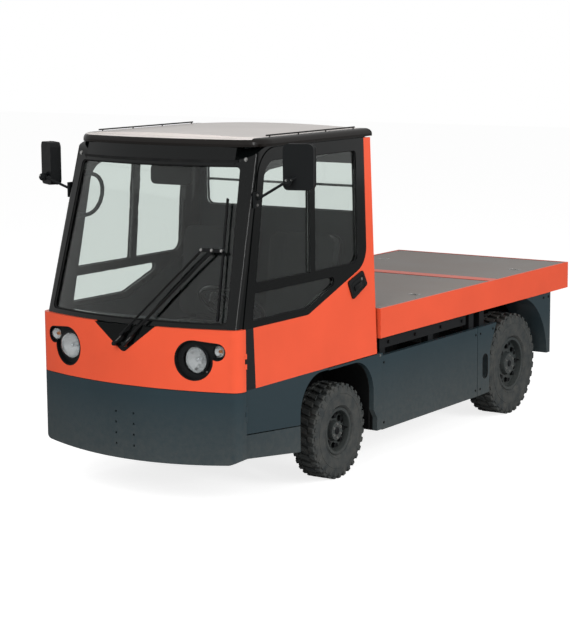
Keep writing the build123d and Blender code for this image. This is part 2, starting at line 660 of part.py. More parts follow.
def rear_panel():
    """Tail plate between the fenders with the tow jaw in its middle."""
    plate = block(SEAT - FENDER_X, FENDER_X - SEAT, TAIL_Y, TAIL_Y + 14, 335, 700)
    jaw = along([(-90, TOW_Z - 75), (90, TOW_Z - 75), (90, TOW_Z + 75), (-90, TOW_Z + 75)], TAIL_Y + 14, TOW_Y + 45, 12)
    jaw = jaw - block(-95, 95, TOW_Y - 65, TOW_Y + 60, TOW_Z - 38, TOW_Z + 38)
    jaw = jaw - rod((0, TOW_Y, TOW_Z - 100), (0, TOW_Y, TOW_Z + 100), TOW_PIN + 0.5)
    return plate + jaw


def tow_pin():
    pin = rod((0, TOW_Y, TOW_Z - 88), (0, TOW_Y, TOW_Z + 122), TOW_PIN)
    head = rod((0, TOW_Y, TOW_Z + 76), (0, TOW_Y, TOW_Z + 84), TOW_PIN + 9)
    grip = rod((-45, TOW_Y, TOW_Z + 122), (45, TOW_Y, TOW_Z + 122), 8)
    return pin + head + grip


def tail_lamps():
    return pair(block(440, 590, TAIL_Y + 14 + SEAT, TAIL_Y + 40, 560, 640))


# ---------------------------------------------------------------- doors
def door_panel():
    """Left leaf: orange panel with the dark foot cut for the wheel arch, and its front hinge strip."""
    upper = side_slab(LEAF_POINTS, LEAF, LEAF, LEAF_RADII)
    frame_hole = side_slab(FRAME_POINTS, LEAF + 20, LEAF + 60, FRAME_RADII)
    strip_top = block(500, 700, LEAF_FRONT - 1, LEAF_REAR + 1, WAIST_Z - 40, WAIST_Z + 3)
    upper = upper - frame_hole - strip_top
    foot = across([(LEAF_FRONT, SILL_Z), (LEAF_FRONT, WAIST_Z + 6), (-155, WAIST_Z + 6), (-155, WAIST_Z - 60),
                   (-423, SILL_Z - 43)], CAB_HALF - LEAF, CAB_HALF)
    grown_arch = [(-428, 100), (-428, ARCH_TOP + GAP), (312, ARCH_TOP + GAP), (312, 331), (349, 281), (349, 100)]
    foot = foot - across(grown_arch, 500, 700, ARCH_RADII)
    leaf = upper + foot
    for z in HINGES:
        for z0, z1 in ((z - HINGE_HALF, z - HINGE_MID), (z + HINGE_MID, z + HINGE_HALF)):
            leaf = leaf - hinge_rod(z0 - 1, z1 + 1, HINGE_R + GAP)
        middle = hinge_rod(z - HINGE_MID + SEAT, z + HINGE_MID - SEAT, HINGE_R)
        link = block(HINGE_X - 12, HINGE_X - 3, HINGE_Y, LEAF_FRONT + 4, z - HINGE_MID + SEAT, z + HINGE_MID - SEAT)
        leaf = leaf + middle + link + hinge_rod(z - HINGE_HALF, z + HINGE_HALF, HINGE_PIN)
    return leaf


def door_frame():
    """Black window frame with a mid rail and the sliding panes' divider."""
    ring = side_slab(FRAME_POINTS, LEAF, LEAF, FRAME_RADII)
    for points, radii in WINDOWS:
        ring = ring - side_slab(points, LEAF + 20, LEAF + 60, radii)
    return ring


# window openings of the frame: loop and roundings
WINDOWS = [
    ([(-838, 346), (-345, 346), (50, 485), (-808, 485)], [10, 60, 24, 10]),
    ([(-796, 533), (-296, 533), (-262, 1147), (-672, 1147)], [10, 6, 6, 110]),
    ([(-248, 533), (180, 533), (194, 1147), (-214, 1147)], [6, 62, 25, 6]),
]


def door_glass():
    panes = [side_slab(points, LEAF / 2 + 3, 6, radii) for points, radii in WINDOWS]
    return Compound(children=[p.solid() for p in panes])


def door_handle():
    """Recessed grip in a slanted plate under the window line."""
    plate = [(62, 440), (215, 488), (258, 405), (108, 337)]
    return side_slab(plate, -0.5, 9, 14)


# mirrors: turn about z towards the driver, on the left seat
MIRRORS = dict(left=(-19.5, 1770), right=(-30.5, 1730))     # turn, height of the middle
MIRROR_REACH = 902
MIRROR_SIZE = (158, 60, 232)
MIRROR_CLEAR = 22            # from the housing's foremost edge to the arm's ball


def door_mirror(turn, cz):
    """Mirror of a left door: bracket, arm, clamp and housing."""
    w, d, h = MIRROR_SIZE
    housing = fillet(Box(w, d, h).edges().filter_by(Axis.Y), 28)
    housing = Rot(0, 0, turn * -1) * housing
    reach = housing.bounding_box().max.X
    cx, cy = MIRROR_REACH - reach, -690
    housing = Pos(cx, cy, cz) * housing
    face = side_at(1600)
    joint = (face + 4, -770, 1600)
    elbow = (cx - 20, cy - housing.bounding_box().size.Y / 2 - MIRROR_CLEAR, cz - h / 2 + 50)
    arm = rod(joint, elbow, 7) + Pos(*elbow) * Sphere(14)
    arm = arm + rod(elbow, (cx, cy, cz - h / 2 + 70), 11)
    bracket = block(face - 1, face + 12, -796, -752, 1560, 1640)
    bracket = bracket - (side_slab([(-1000, 800), (0, 800), (0, 1100), (-1000, 1100)], LEAF, LEAF))
    return housing + arm + bracket


# ---------------------------------------------------------------- wiper
# The arms swing in a plane that leans with the screen and is turned a little to
# the left, so that the parked blade lies close to the bowed pane.
WIPER_TURN = 0.15
WIPER_OUT = Vector(WIPER_TURN, -1, RAKE).normalized()
WIPER = Plane(origin=(-27, NOSE_Y - 54, 868), x_dir=(1, WIPER_TURN, 0), z_dir=WIPER_OUT)
WIPER_PIVOTS = (0, 60)               # along the plane from the driven spindle
WIPER_REACH = (454, 503)             # from a spindle to its pin on the blade carrier, parked
BLADE_FOOT, BLADE_TOP = (581, 152), (561, 770)
HUB_DROP = 22                        # the hubs sit this much nearer the cover than the arms


def wiper_bar(start, end, wide, low, thick):
    """Flat bar between two points of the wiper plane, with round ends."""
    slot = SlotCenterToCenter(hypot(end[0] - start[0], end[1] - start[1]), wide)
    turn = degrees(atan2(end[1] - start[1], end[0] - start[0]))
    at = Location(((start[0] + end[0]) / 2, (start[1] + end[1]) / 2, low), (0, 0, turn))
    return extrude(WIPER * (at * slot), amount=thick)


def wiper_pin(at, radius, low, high):
    return extrude(WIPER * (Pos(at[0], at[1], low) * Circle(radius)), amount=high - low)


def wiper_arm(pivot, wide):
    """Cranked arm: hub low on its spindle, then out over the edge of the bonnet."""
    way = (WIPER_REACH[0], WIPER_REACH[1])
    unit = 1 / hypot(*way)

    def at(run):
        return (pivot + way[0] * unit * run, way[1] * unit * run)

    root = wiper_bar(at(0), at(70), wide + 6, -HUB_DROP, 7) + wiper_bar(at(64), at(76), wide + 4, -HUB_DROP, HUB_DROP + 4)
    bar = wiper_bar(at(70), at(hypot(*way)), wide, -2.5, 6)
    hub = wiper_pin(at(0), 12, -HUB_DROP, -HUB_DROP + 10)
    return root + bar + hub


def wiper_spindles():
    """Bosses on the cover that carry the two arms."""
    posts = [rod((WIPER * Pos(p, 0, -60)).position, (WIPER * Pos(p, 0, -HUB_DROP - 0.5)).position, 11)
             for p in WIPER_PIVOTS]
    return posts[0] + posts[1]


def wiper_blade():
    """Carrier that joins both arms, and the long blade."""
    first, second = WIPER_REACH, (WIPER_REACH[0] + WIPER_PIVOTS[1], WIPER_REACH[1])
    mid = (BLADE_FOOT[0] + (BLADE_TOP[0] - BLADE_FOOT[0]) * 0.57, WIPER_REACH[1])
    low = 3.5 + SEAT
    carrier = wiper_bar(first, mid, 20, low, 5)
    back = wiper_bar(BLADE_FOOT, BLADE_TOP, 9, -22, 14)
    boss = wiper_pin(mid, 11, -14, low + 5)
    return carrier + back + boss


def main():
    os.makedirs("parts", exist_ok=True)
    save("chassis_frame", chassis_frame())
    save("front_apron", front_apron())
    save("front_panel", front_panel())
    save("wiper_cover", wiper_cover())
    save("lamp_bezels", lamp_bezels())
    save("headlamps", lenses("head"))
    save("indicators", lenses("turn"))
    save("cab_frame", cab_frame())
    save("windscreen", windscreen())
    save("cab_rear_wall", cab_rear_wall())
    save("rear_window", rear_window())
    save("roof", roof())
    save("roof_skin", roof_skin())
    save("cab_floor", cab_floor())
    save("seats", seats())
    save("dashboard", dashboard())
    save("steering_wheel", steering_wheel())
    save("side_panels", side_panels())
    save("wheel_arches", wheel_arches())
    save("side_skirts", side_skirts())
    save("skirt_ends", skirt_ends())
    save("rear_fenders", rear_fenders())
    save("rear_panel", rear_panel())
    save("tow_pin", tow_pin())
    save("wiper_arm_long", wiper_arm(WIPER_PIVOTS[0], 10))
    save("wiper_arm_short", wiper_arm(WIPER_PIVOTS[1], 14))
    save("wiper_blade", wiper_blade())
    save("tail_lamps", tail_lamps())
    save("deck_frame", deck_frame())
    save("deck_plates", deck_plates())
    save("battery", battery())
    save("rear_axle", rear_axle())
    save("front_axle", front_axle())
    for axle, size in (("front", FRONT), ("rear", REAR)):
        rubber, disc = tyre(size), rim(size)
        save(f"tyre_{axle}_left", rubber)
        save(f"tyre_{axle}_right", mirrored(rubber))
        save(f"rim_{axle}_left", disc)
        save(f"rim_{axle}_right", mirrored(disc))
    carrier = knuckle()
    save("knuckle_left", carrier)
    save("knuckle_right", mirrored(carrier))
    for name, shape in (("panel", door_panel()), ("frame", door_frame()), ("glass", door_glass()),
                        ("handle", door_handle())):
        save(f"door_left_{name}", shape)
        save(f"door_right_{name}", mirrored(shape))
    save("mirror_left", door_mirror(*MIRRORS["left"]))
    save("mirror_right", mirrored(door_mirror(*MIRRORS["right"])))


main()
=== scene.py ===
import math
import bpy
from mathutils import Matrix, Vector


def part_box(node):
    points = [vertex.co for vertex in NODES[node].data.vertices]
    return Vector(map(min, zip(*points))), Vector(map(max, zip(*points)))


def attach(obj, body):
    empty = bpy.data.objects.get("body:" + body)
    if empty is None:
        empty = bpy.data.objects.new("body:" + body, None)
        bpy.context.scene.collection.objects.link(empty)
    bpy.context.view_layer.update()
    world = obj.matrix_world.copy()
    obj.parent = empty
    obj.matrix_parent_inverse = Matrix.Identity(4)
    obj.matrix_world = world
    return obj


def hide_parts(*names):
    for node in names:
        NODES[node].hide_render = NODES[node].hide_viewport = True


bl_info = {
    "name": "Baggage tug finishes",
    "version": (1, 0, 0),
    "blender": (4, 5, 0),
    "location": "3D View > Sidebar > Tug",
    "description": "Finishes, trim, tyres and studio for an enclosed-cab electric baggage tug",
    "category": "Object",
}

import bmesh
import bpy
from bpy.props import FloatProperty, FloatVectorProperty, IntProperty, PointerProperty
from bpy.types import Operator, Panel, PropertyGroup
from mathutils import Matrix, Vector

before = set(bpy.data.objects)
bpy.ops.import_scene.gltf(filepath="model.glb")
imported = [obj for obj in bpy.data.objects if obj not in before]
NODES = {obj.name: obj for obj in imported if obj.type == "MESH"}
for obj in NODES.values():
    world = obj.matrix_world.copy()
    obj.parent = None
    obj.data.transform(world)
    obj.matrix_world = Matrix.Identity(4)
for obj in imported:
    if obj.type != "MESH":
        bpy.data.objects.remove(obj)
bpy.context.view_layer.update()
SIDES = {"left": 1, "right": -1}
FINISHES = {}

# ------------------------------------------------------------------ places
# The drawing's own y has nought at the front axle; it is shifted to the part's frame.
AXLE_Y = sum(corner.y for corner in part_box("rim_front_left")) / 2

WAIST_Z = 0.648                     # where the orange of the door ends
HINGE_STRIP_Y = -0.835              # rear edge of the black strip that carries the hinges
SIDE_LEAN = math.radians(2.15)      # the cab's sides lean inwards by this
SIDE_X, SIDE_FOOT_Z = 0.640, 0.645  # the leaning side at its foot
ROOF_FLAT_Z, ROOF_FLAT_X = 1.8985, 0.5465   # the pale flat of the roof's rim
DECK_Z = 0.8972
HALF_DECK = 0.637
TAIL_Y = 2.5140


def at(x, y, z):
    """A point given in metres from the front axle's middle on the ground."""
    return Vector((x, y + AXLE_Y, z))


# ------------------------------------------------------------------ colours
def linear(text):
    """sRGB hex to linear RGBA."""
    parts = [int(text[i:i + 2], 16) / 255 for i in (1, 3, 5)]
    return tuple(c / 12.92 if c <= 0.04045 else ((c + 0.055) / 1.055) ** 2.4 for c in parts) + (1.0,)


def grey(value):
    return (value, value, value, 1.0)


def mixed(a, b, share):
    return tuple(p + (q - p) * share for p, q in zip(a, b))


def lifted(colour, share):
    """A colour a little lighter, in proportion, so that blacks stay black."""
    return tuple(min(c * (1 + 4 * share), 1.0) for c in colour[:3]) + (1.0,)


def tint_property(label, text, about):
    return FloatVectorProperty(name=label, description=about, subtype="COLOR", size=4, min=0.0, max=1.0,
                               default=linear(text))


def length_property(label, metres, about):
    return FloatProperty(name=label, description=about, unit="LENGTH", min=0.0, default=metres, precision=4)


class TugColours(PropertyGroup):
    body: tint_property("Body lacquer", "#E45636", "Orange-red lacquer of the cab panels and the deck frame")
    lower: tint_property("Lower lacquer", "#26353B", "Blue-grey lacquer of the apron and the skirts")
    frame: tint_property("Cab frame", "#060808", "Black lacquer of the cab frame and the roof rim")
    roof: tint_property("Roof skin", "#D6D0CC", "Pale skin in the roof's well")
    deck: tint_property("Deck board", "#8B827C", "Resin-faced board of the load deck")
    rubber: tint_property("Tyre rubber", "#35393A", "Carbon-black rubber, a little dusty")
    rim: tint_property("Wheel enamel", "#2E3435", "Enamel of the pressed wheels")
    pane: tint_property("Safety glass", "#F0F6F3", "Tint of the cab's panes")


class TugSizes(PropertyGroup):
    gasket: length_property("Gasket", 0.007, "Radius of the rubber round the fixed panes")
    lugs: IntProperty(name="Shoulder lugs", description="Tread lugs round one shoulder of a tyre", default=32,
                      min=8, max=60)
    wheel_nuts: IntProperty(name="Wheel nuts", description="Nuts round one hub", default=8, min=3, max=16)
    nut_width: length_property("Nut width", 0.024, "Wheel nut across its flats")


# ------------------------------------------------------------------ node helper
def add(tree, kind, sockets=None, **settings):
    """Adds one node with its settings, and sets or links its sockets. A node given as a
    socket's value is linked by its first live output."""
    node = tree.nodes.new(kind)
    for key, value in settings.items():
        setattr(node, key, value)
    for key, value in (sockets or {}).items():
        if isinstance(value, bpy.types.Node):
            value = next(output for output in value.outputs if output.enabled)
        if isinstance(value, bpy.types.NodeSocket):
            tree.links.new(value, node.inputs[key])
        else:
            node.inputs[key].default_value = value
    return node


# the colour sockets of a Mix node: its share and the two colours it mixes
SHARE, FIRST, SECOND = 0, 6, 7
MATH, MIX, RANGE, BUMP = "ShaderNodeMath", "ShaderNodeMix", "ShaderNodeMapRange", "ShaderNodeBump"
NOISE, WAVE, MAPPING = "ShaderNodeTexNoise", "ShaderNodeTexWave", "ShaderNodeMapping"
AXES = "ShaderNodeSeparateXYZ"
WAVE_TURN = 6.3       # a Wave texture's bands are this many times closer than its scale says


# ------------------------------------------------------------------ materials
def material(name):
    """An empty material, its tree, and the Object coordinates in it."""
    made = bpy.data.materials.new(name)
    made.use_nodes = True
    made.node_tree.nodes.clear()
    return made, made.node_tree, add(made.node_tree, "ShaderNodeTexCoord").outputs["Object"]


def closed(made, sockets):
    """Ends a material with its shader; painted and moulded skins mirror less than clean glass would."""
    if not sockets.get("Metallic"):
        sockets.setdefault("Specular IOR Level", 0.3)
    shader = add(made.node_tree, "ShaderNodeBsdfPrincipled", sockets)
    add(made.node_tree, "ShaderNodeOutputMaterial", {"Surface": shader})
    return made


def lacquer(name, colour, rough=0.3, coat=0.5, peel=0.00002, shade=0.12, dust=0.25):
    """Sprayed and baked lacquer on steel: an orange-peel skin some 4 mm across, slight
    cloudiness in the pigment, and road dust thinning out upwards from the ground."""
    made, tree, spot = material(name)
    cloud = add(tree, NOISE, {"Vector": spot, "Scale": 1 / 0.35, "Detail": 3.0})
    pigment = add(tree, MIX, {SHARE: cloud, FIRST: mixed(colour, grey(0), shade), SECOND: lifted(colour, shade * 0.25)},
                  data_type="RGBA")
    height = add(tree, AXES, {"Vector": spot}).outputs["Z"]
    low = add(tree, RANGE, {"Value": height, "From Min": 0.15, "From Max": 0.6, "To Min": dust, "To Max": 0.0})
    speck = add(tree, NOISE, {"Vector": spot, "Scale": 1 / 0.03, "Detail": 5.0, "Roughness": 0.7})
    film = add(tree, MATH, {0: low, 1: speck}, operation="MULTIPLY")
    base = add(tree, MIX, {SHARE: film, FIRST: pigment, SECOND: linear("#8C857A")}, data_type="RGBA")
    wear = add(tree, NOISE, {"Vector": spot, "Scale": 1 / 0.12, "Detail": 4.0})
    gloss = add(tree, RANGE, {"Value": wear, "To Min": rough * 0.85, "To Max": rough * 1.2})
    skin = add(tree, NOISE, {"Vector": spot, "Scale": 1 / 0.004, "Detail": 1.0})
    relief = add(tree, BUMP, {"Height": skin, "Strength": 1.0, "Distance": peel})
    return closed(made, {"Base Color": base, "Roughness": gloss, "Coat Weight": coat, "Coat Roughness": 0.08,
                         "Normal": relief})


def door_lacquer(name, upper, lower, strip):
    """The door leaf wears three coats: orange above the waist, blue-grey on the foot, and
    black on the strip that carries the hinges. Its inner face is dark."""
    made, tree, spot = material(name)
    axes = add(tree, AXES, {"Vector": spot}).outputs
    above = add(tree, MATH, {0: axes["Z"], 1: WAIST_Z}, operation="GREATER_THAN")
    behind = add(tree, MATH, {0: axes["Y"], 1: HINGE_STRIP_Y + AXLE_Y}, operation="GREATER_THAN")
    cloud = add(tree, NOISE, {"Vector": spot, "Scale": 1 / 0.35, "Detail": 3.0})
    orange = add(tree, MIX, {SHARE: cloud, FIRST: mixed(upper, grey(0), 0.1), SECOND: lifted(upper, 0.03)},
                 data_type="RGBA")
    top = add(tree, MIX, {SHARE: behind, FIRST: strip, SECOND: orange}, data_type="RGBA")
    coats = add(tree, MIX, {SHARE: above, FIRST: lower, SECOND: top}, data_type="RGBA")
    # the outer face leans with the side, so its depth is measured square to the lean
    lean = add(tree, MATH, {0: axes["Z"], 1: 0.0375}, operation="MULTIPLY")
    across = add(tree, MATH, {0: axes["X"]}, operation="ABSOLUTE")
    depth = add(tree, MATH, {0: across, 1: lean}, operation="ADD")
    outside = add(tree, MATH, {0: depth, 1: 0.650}, operation="GREATER_THAN")
    base = add(tree, MIX, {SHARE: outside, FIRST: linear("#20272A"), SECOND: coats}, data_type="RGBA")
    gloss = add(tree, RANGE, {"Value": above, "To Min": 0.42, "To Max": 0.3})
    skin = add(tree, NOISE, {"Vector": spot, "Scale": 1 / 0.004, "Detail": 1.0})
    relief = add(tree, BUMP, {"Height": skin, "Strength": 1.0, "Distance": 0.00002})
    return closed(made, {"Base Color": base, "Roughness": gloss, "Coat Weight": 0.2, "Coat Roughness": 0.08,
                         "Normal": relief})


def roof_lacquer(name, top, edge):
    """The roof's rim is pale on its flat top and black over the rounded eaves and rails."""
    made, tree, spot = material(name)
    axes = add(tree, AXES, {"Vector": spot}).outputs
    high = add(tree, MATH, {0: axes["Z"], 1: ROOF_FLAT_Z}, operation="GREATER_THAN")
    across = add(tree, MATH, {0: axes["X"]}, operation="ABSOLUTE")
    inner = add(tree, MATH, {0: across, 1: ROOF_FLAT_X}, operation="LESS_THAN")
    pale = add(tree, MATH, {0: high, 1: inner}, operation="MULTIPLY")
    cloud = add(tree, NOISE, {"Vector": spot, "Scale": 1 / 0.3, "Detail": 3.0})
    flat = add(tree, MIX, {SHARE: cloud, FIRST: mixed(top, grey(0), 0.08), SECOND: lifted(top, 0.04)}, data_type="RGBA")
    base = add(tree, MIX, {SHARE: pale, FIRST: edge, SECOND: flat}, data_type="RGBA")
    gloss = add(tree, RANGE, {"Value": pale, "To Min": 0.2, "To Max": 0.4})
    skin = add(tree, NOISE, {"Vector": spot, "Scale": 1 / 0.004, "Detail": 1.0})
    relief = add(tree, BUMP, {"Height": skin, "Strength": 1.0, "Distance": 0.00002})
    return closed(made, {"Base Color": base, "Roughness": gloss, "Coat Weight": 0.2, "Coat Roughness": 0.08,
                         "Normal": relief})


def moulded(name, colour, rough=0.55, grain=0.0015, depth=0.00008):
    """Injection-moulded plastic with a spark-eroded grain."""
    made, tree, spot = material(name)
    cells = add(tree, "ShaderNodeTexVoronoi", {"Vector": spot, "Scale": 1 / grain})
    cloud = add(tree, NOISE, {"Vector": spot, "Scale": 1 / 0.1, "Detail": 3.0})
    base = add(tree, MIX, {SHARE: cloud, FIRST: colour, SECOND: lifted(colour, 0.02)}, data_type="RGBA")
    wear = add(tree, NOISE, {"Vector": spot, "Scale": 1 / 0.05, "Detail": 3.0})
    gloss = add(tree, RANGE, {"Value": wear, "To Min": rough * 0.85, "To Max": rough * 1.15})
    relief = add(tree, BUMP, {"Height": cells, "Strength": 1.0, "Distance": depth})
    return closed(made, {"Base Color": base, "Roughness": gloss, "Normal": relief})


def rubber(name, colour, rough=0.8, dust=0.35):
    """Vulcanised rubber: dull, faintly mottled, with pale dust caught in a fine bloom."""
    made, tree, spot = material(name)
    bloom = add(tree, NOISE, {"Vector": spot, "Scale": 1 / 0.06, "Detail": 6.0, "Roughness": 0.65})
    caught = add(tree, RANGE, {"Value": bloom, "From Min": 0.35, "From Max": 0.75, "To Min": 0.0, "To Max": dust})
    base = add(tree, MIX, {SHARE: caught, FIRST: colour, SECOND: linear("#6D6A63")}, data_type="RGBA")
    gloss = add(tree, RANGE, {"Value": bloom, "To Min": rough * 0.85, "To Max": rough * 1.1})
    pores = add(tree, NOISE, {"Vector": spot, "Scale": 1 / 0.003, "Detail": 3.0})
    relief = add(tree, BUMP, {"Height": pores, "Strength": 1.0, "Distance": 0.0001})
    return closed(made, {"Base Color": base, "Roughness": gloss, "Normal": relief})


def glazing(name, colour, rough=0.02):
    """Toughened glass, tinted in the melt: clear with a faint cast and sharp reflections."""
    made, _, _ = material(name)
    return closed(made, {"Base Color": colour, "Roughness": rough, "IOR": 1.45, "Transmission Weight": 1.0})


def bright_metal(name, colour, rough=0.25, grain=0.002, metallic=1.0):
    """Plated or turned steel with fine tool marks, which soften its glints."""
    made, tree, spot = material(name)
    marks = add(tree, NOISE, {"Vector": spot, "Scale": 1 / grain, "Detail": 2.0})
    gloss = add(tree, RANGE, {"Value": marks, "To Min": rough * 0.7, "To Max": rough * 1.3})
    relief = add(tree, BUMP, {"Height": marks, "Strength": 1.0, "Distance": 0.00002})
    return closed(made, {"Base Color": colour, "Metallic": metallic, "Roughness": gloss, "Normal": relief})


def faced_board(name, colour):
    """Resin-faced plywood with a pressed wire-mesh pattern some 6 mm apart, drawn at 9 mm
    to show, scuffed along the way that loads slide."""
    made, tree, spot = material(name)
    slide = add(tree, MAPPING, {"Vector": spot, "Scale": (1.6, 14.0, 1.0)})
    scuff = add(tree, NOISE, {"Vector": slide, "Scale": 3.0, "Detail": 6.0, "Roughness": 0.7})
    patch = add(tree, NOISE, {"Vector": spot, "Scale": 1 / 0.4, "Detail": 3.0})
    worn = add(tree, MIX, {SHARE: scuff, FIRST: mixed(colour, grey(0), 0.25), SECOND: lifted(colour, 0.06)},
               data_type="RGBA")
    base = add(tree, MIX, {SHARE: patch, FIRST: worn, SECOND: mixed(colour, linear("#9A9EA0"), 0.4)}, data_type="RGBA")
    turned_way = add(tree, MAPPING, {"Vector": spot, "Rotation": (0, 0, math.radians(45))})
    wires = [add(tree, WAVE, {"Vector": turned_way, "Scale": 1 / 0.009 / WAVE_TURN, "Distortion": 0.0},
                 bands_direction=axis).outputs["Fac"] for axis in "XY"]
    net = add(tree, MATH, dict(enumerate(wires)), operation="MAXIMUM")
    gloss = add(tree, RANGE, {"Value": scuff, "To Min": 0.5, "To Max": 0.75})
    relief = add(tree, BUMP, {"Height": net, "Strength": 1.0, "Distance": 0.0003})
    return closed(made, {"Base Color": base, "Roughness": gloss, "Normal": relief})


def cloth(name, colour):
    """Woven seat cloth in 2 mm ribs, with a soft sheen at its edges."""
    made, tree, spot = material(name)
    rib = add(tree, WAVE, {"Vector": spot, "Scale": 1 / 0.002 / WAVE_TURN, "Distortion": 0.6, "Detail": 1.0}).outputs["Fac"]
    base = add(tree, MIX, {SHARE: rib, FIRST: mixed(colour, grey(0), 0.3), SECOND: lifted(colour, 0.04)},
               data_type="RGBA")
    relief = add(tree, BUMP, {"Height": rib, "Strength": 1.0, "Distance": 0.0003})
    return closed(made, {"Base Color": base, "Roughness": 0.85, "Sheen Weight": 0.3, "Normal": relief})


# ------------------------------------------------------------------ mesh helpers
def smooth_by_angle(mesh, degrees):
    """Smooth faces, with edges sharper than the angle kept hard."""
    bm = bmesh.new()
    bm.from_mesh(mesh)
    for face in bm.faces:
        face.smooth = True
    for edge in bm.edges:
        if len(edge.link_faces) == 2 and edge.calc_face_angle(0) > math.radians(degrees):
            edge.smooth = False
    bm.to_mesh(mesh)
    bm.free()


def piece(name, source, finish, body, degrees=35):
    """One finished piece from a bmesh or a mesh, riding on a body."""
    if isinstance(source, bmesh.types.BMesh):
        bmesh.ops.remove_doubles(source, verts=source.verts, dist=1e-6)
        bmesh.ops.recalc_face_normals(source, faces=source.faces)
        mesh = bpy.data.meshes.new(name)
        source.to_mesh(mesh)
        source.free()
    else:
        mesh = source
    mesh.name = name
    smooth_by_angle(mesh, degrees)
    obj = bpy.data.objects.new(name, mesh)
    bpy.context.scene.collection.objects.link(obj)
    if not mesh.materials:
        mesh.materials.append(FINISHES[finish])
    for index, given in enumerate(mesh.materials):
        mesh.materials[index] = given or FINISHES[finish]
    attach(obj, body)
    return obj


def frame_of(origin, out, up=(0, 0, 1)):
    """Matrix with z along out and y near up, placed at origin."""
    z = Vector(out).normalized()
    x = Vector(up).cross(z)
    x = x.normalized() if x.length > 1e-6 else Vector((1, 0, 0))
    turn = Matrix((x, z.cross(x), z)).transposed().to_4x4()
    return Matrix.Translation(Vector(origin)) @ turn


def shifted(where, x, y, z=0.0):
    """The matrix where, moved along its own axes."""
    return where @ Matrix.Translation((x, y, z))


def on_ring(radius, count, start=0.0):
    """Points evenly round a circle; start counts in steps."""
    return [(radius * math.cos(a), radius * math.sin(a)) for a in (2 * math.pi * (k + start) / count for k in range(count))]


def lathe(bm, profile, where, steps=48):
    """Turns (radius, height) points about the z of the matrix where; ends on the axis close."""
    rings = []
    for radius, height in profile:
        circle = [(0, 0)] if radius < 1e-7 else on_ring(radius, steps)
        rings.append([bm.verts.new(where @ Vector((x, y, height))) for x, y in circle])
    for low, high in zip(rings, rings[1:]):
        for k in range(steps):
            n = (k + 1) % steps
            corners = [low[k % len(low)], low[n % len(low)], high[n % len(high)], high[k % len(high)]]
            unique = list(dict.fromkeys(corners))
            if len(unique) > 2:
                bm.faces.new(unique)


def turned(name, profile, places, finish, body, steps=48, degrees=35):
    """One piece of like turned parts, one at each matrix of places."""
    bm = bmesh.new()
    for where in places:
        lathe(bm, profile, where, steps)
    return piece(name, bm, finish, body, degrees)


def sweep(bm, points, section, up=(0, 0, 1)):
    """Draws a section of (across, up) points along an open path, and caps its ends."""
    rings = []
    for k, point in enumerate(points):
        before, after = points[max(k - 1, 0)], points[min(k + 1, len(points) - 1)]
        way = (Vector(after) - Vector(before)).normalized()
        side = way.cross(Vector(up))
        side = side.normalized() if side.length > 1e-6 else Vector((1, 0, 0))
        top = side.cross(way).normalized()
        rings.append([bm.verts.new(Vector(point) + side * a + top * b) for a, b in section])
    for low, high in zip(rings, rings[1:]):
        walled(bm, low, high)
    bm.faces.new(rings[0][::-1])
    bm.faces.new(rings[-1])


def walled(bm, low, high):
    """Faces between two rings of equal count."""
    for k in range(len(low)):
        n = (k + 1) % len(low)
        bm.faces.new((low[k], low[n], high[n], high[k]))


def rounded_loop(points, radii, steps=8):
    """Closed loop of 2D corners, each rounded by its radius."""
    if isinstance(radii, (int, float)):
        radii = [radii] * len(points)
    loop = []
    count = len(points)
    for k, (corner, radius) in enumerate(zip(points, radii)):
        here, last, coming = Vector(corner), Vector(points[k - 1]), Vector(points[(k + 1) % count])
        if radius <= 0:
            loop.append(here)
            continue
        a, b = (last - here).normalized(), (coming - here).normalized()
        half = a.angle(b) / 2
        reach = radius / math.tan(half)
        centre = here + (a + b).normalized() * (radius / math.sin(half))
        start, end = here + a * reach, here + b * reach
        first = math.atan2(*(start - centre).yx)
        opening = (math.atan2(*(end - centre).yx) - first + math.pi) % (2 * math.pi) - math.pi
        for step in range(steps + 1):
            angle = first + opening * step / steps
            loop.append(centre + Vector((math.cos(angle), math.sin(angle))) * radius)
    return loop


def oblong(x0, y0, x1, y1, radius):
    """Rounded rectangle between two corners."""
    return rounded_loop([(x0, y0), (x1, y0), (x1, y1), (x0, y1)], radius)


def centred(width, height, radius):
    """Rounded rectangle about nought."""
    return oblong(-width / 2, -height / 2, width / 2, height / 2, radius)


def prism(bm, loop, where, low, high):
    """Straight-sided solid on a 2D loop, between two heights of the matrix where."""
    bottom, top = ([bm.verts.new(where @ Vector((p[0], p[1], z))) for p in loop] for z in (low, high))
    walled(bm, bottom, top)
    bm.faces.new(bottom[::-1])
    bm.faces.new(top)


def slab(name, loop, where, low, high, finish, body, bevel=0.0, segments=2, degrees=35):
    """One flat piece with a broken edge."""
    bm = bmesh.new()
    prism(bm, loop, where, low, high)
    if bevel:
        bevelled(bm, bevel, segments)
    return piece(name, bm, finish, body, degrees)


def stepped(bm, where, rows):
    """Closed shell through rings of (loop, height), from its foot."""
    rings = [[bm.verts.new(where @ Vector((p.x, p.y, z))) for p in loop] for loop, z in rows]
    for low, high in zip(rings, rings[1:]):
        walled(bm, low, high)
    bm.faces.new(rings[0][::-1])
    bm.faces.new(rings[-1])


def box_piece(bm, low, high, where=None):
    loop = [(low[0], low[1]), (high[0], low[1]), (high[0], high[1]), (low[0], high[1])]
    prism(bm, loop, where or Matrix.Identity(4), low[2], high[2])


def bevelled(bm, width, segments=2, degrees=40):
    """Breaks every sharp edge of the bmesh."""
    bmesh.ops.remove_doubles(bm, verts=bm.verts, dist=1e-6)
    bmesh.ops.recalc_face_normals(bm, faces=bm.faces)
    sharp = [e for e in bm.edges if len(e.link_faces) == 2 and e.calc_face_angle(0) > math.radians(degrees)]
    bmesh.ops.bevel(bm, geom=sharp, offset=width, segments=segments, affect="EDGES", profile=0.5, clamp_overlap=True)


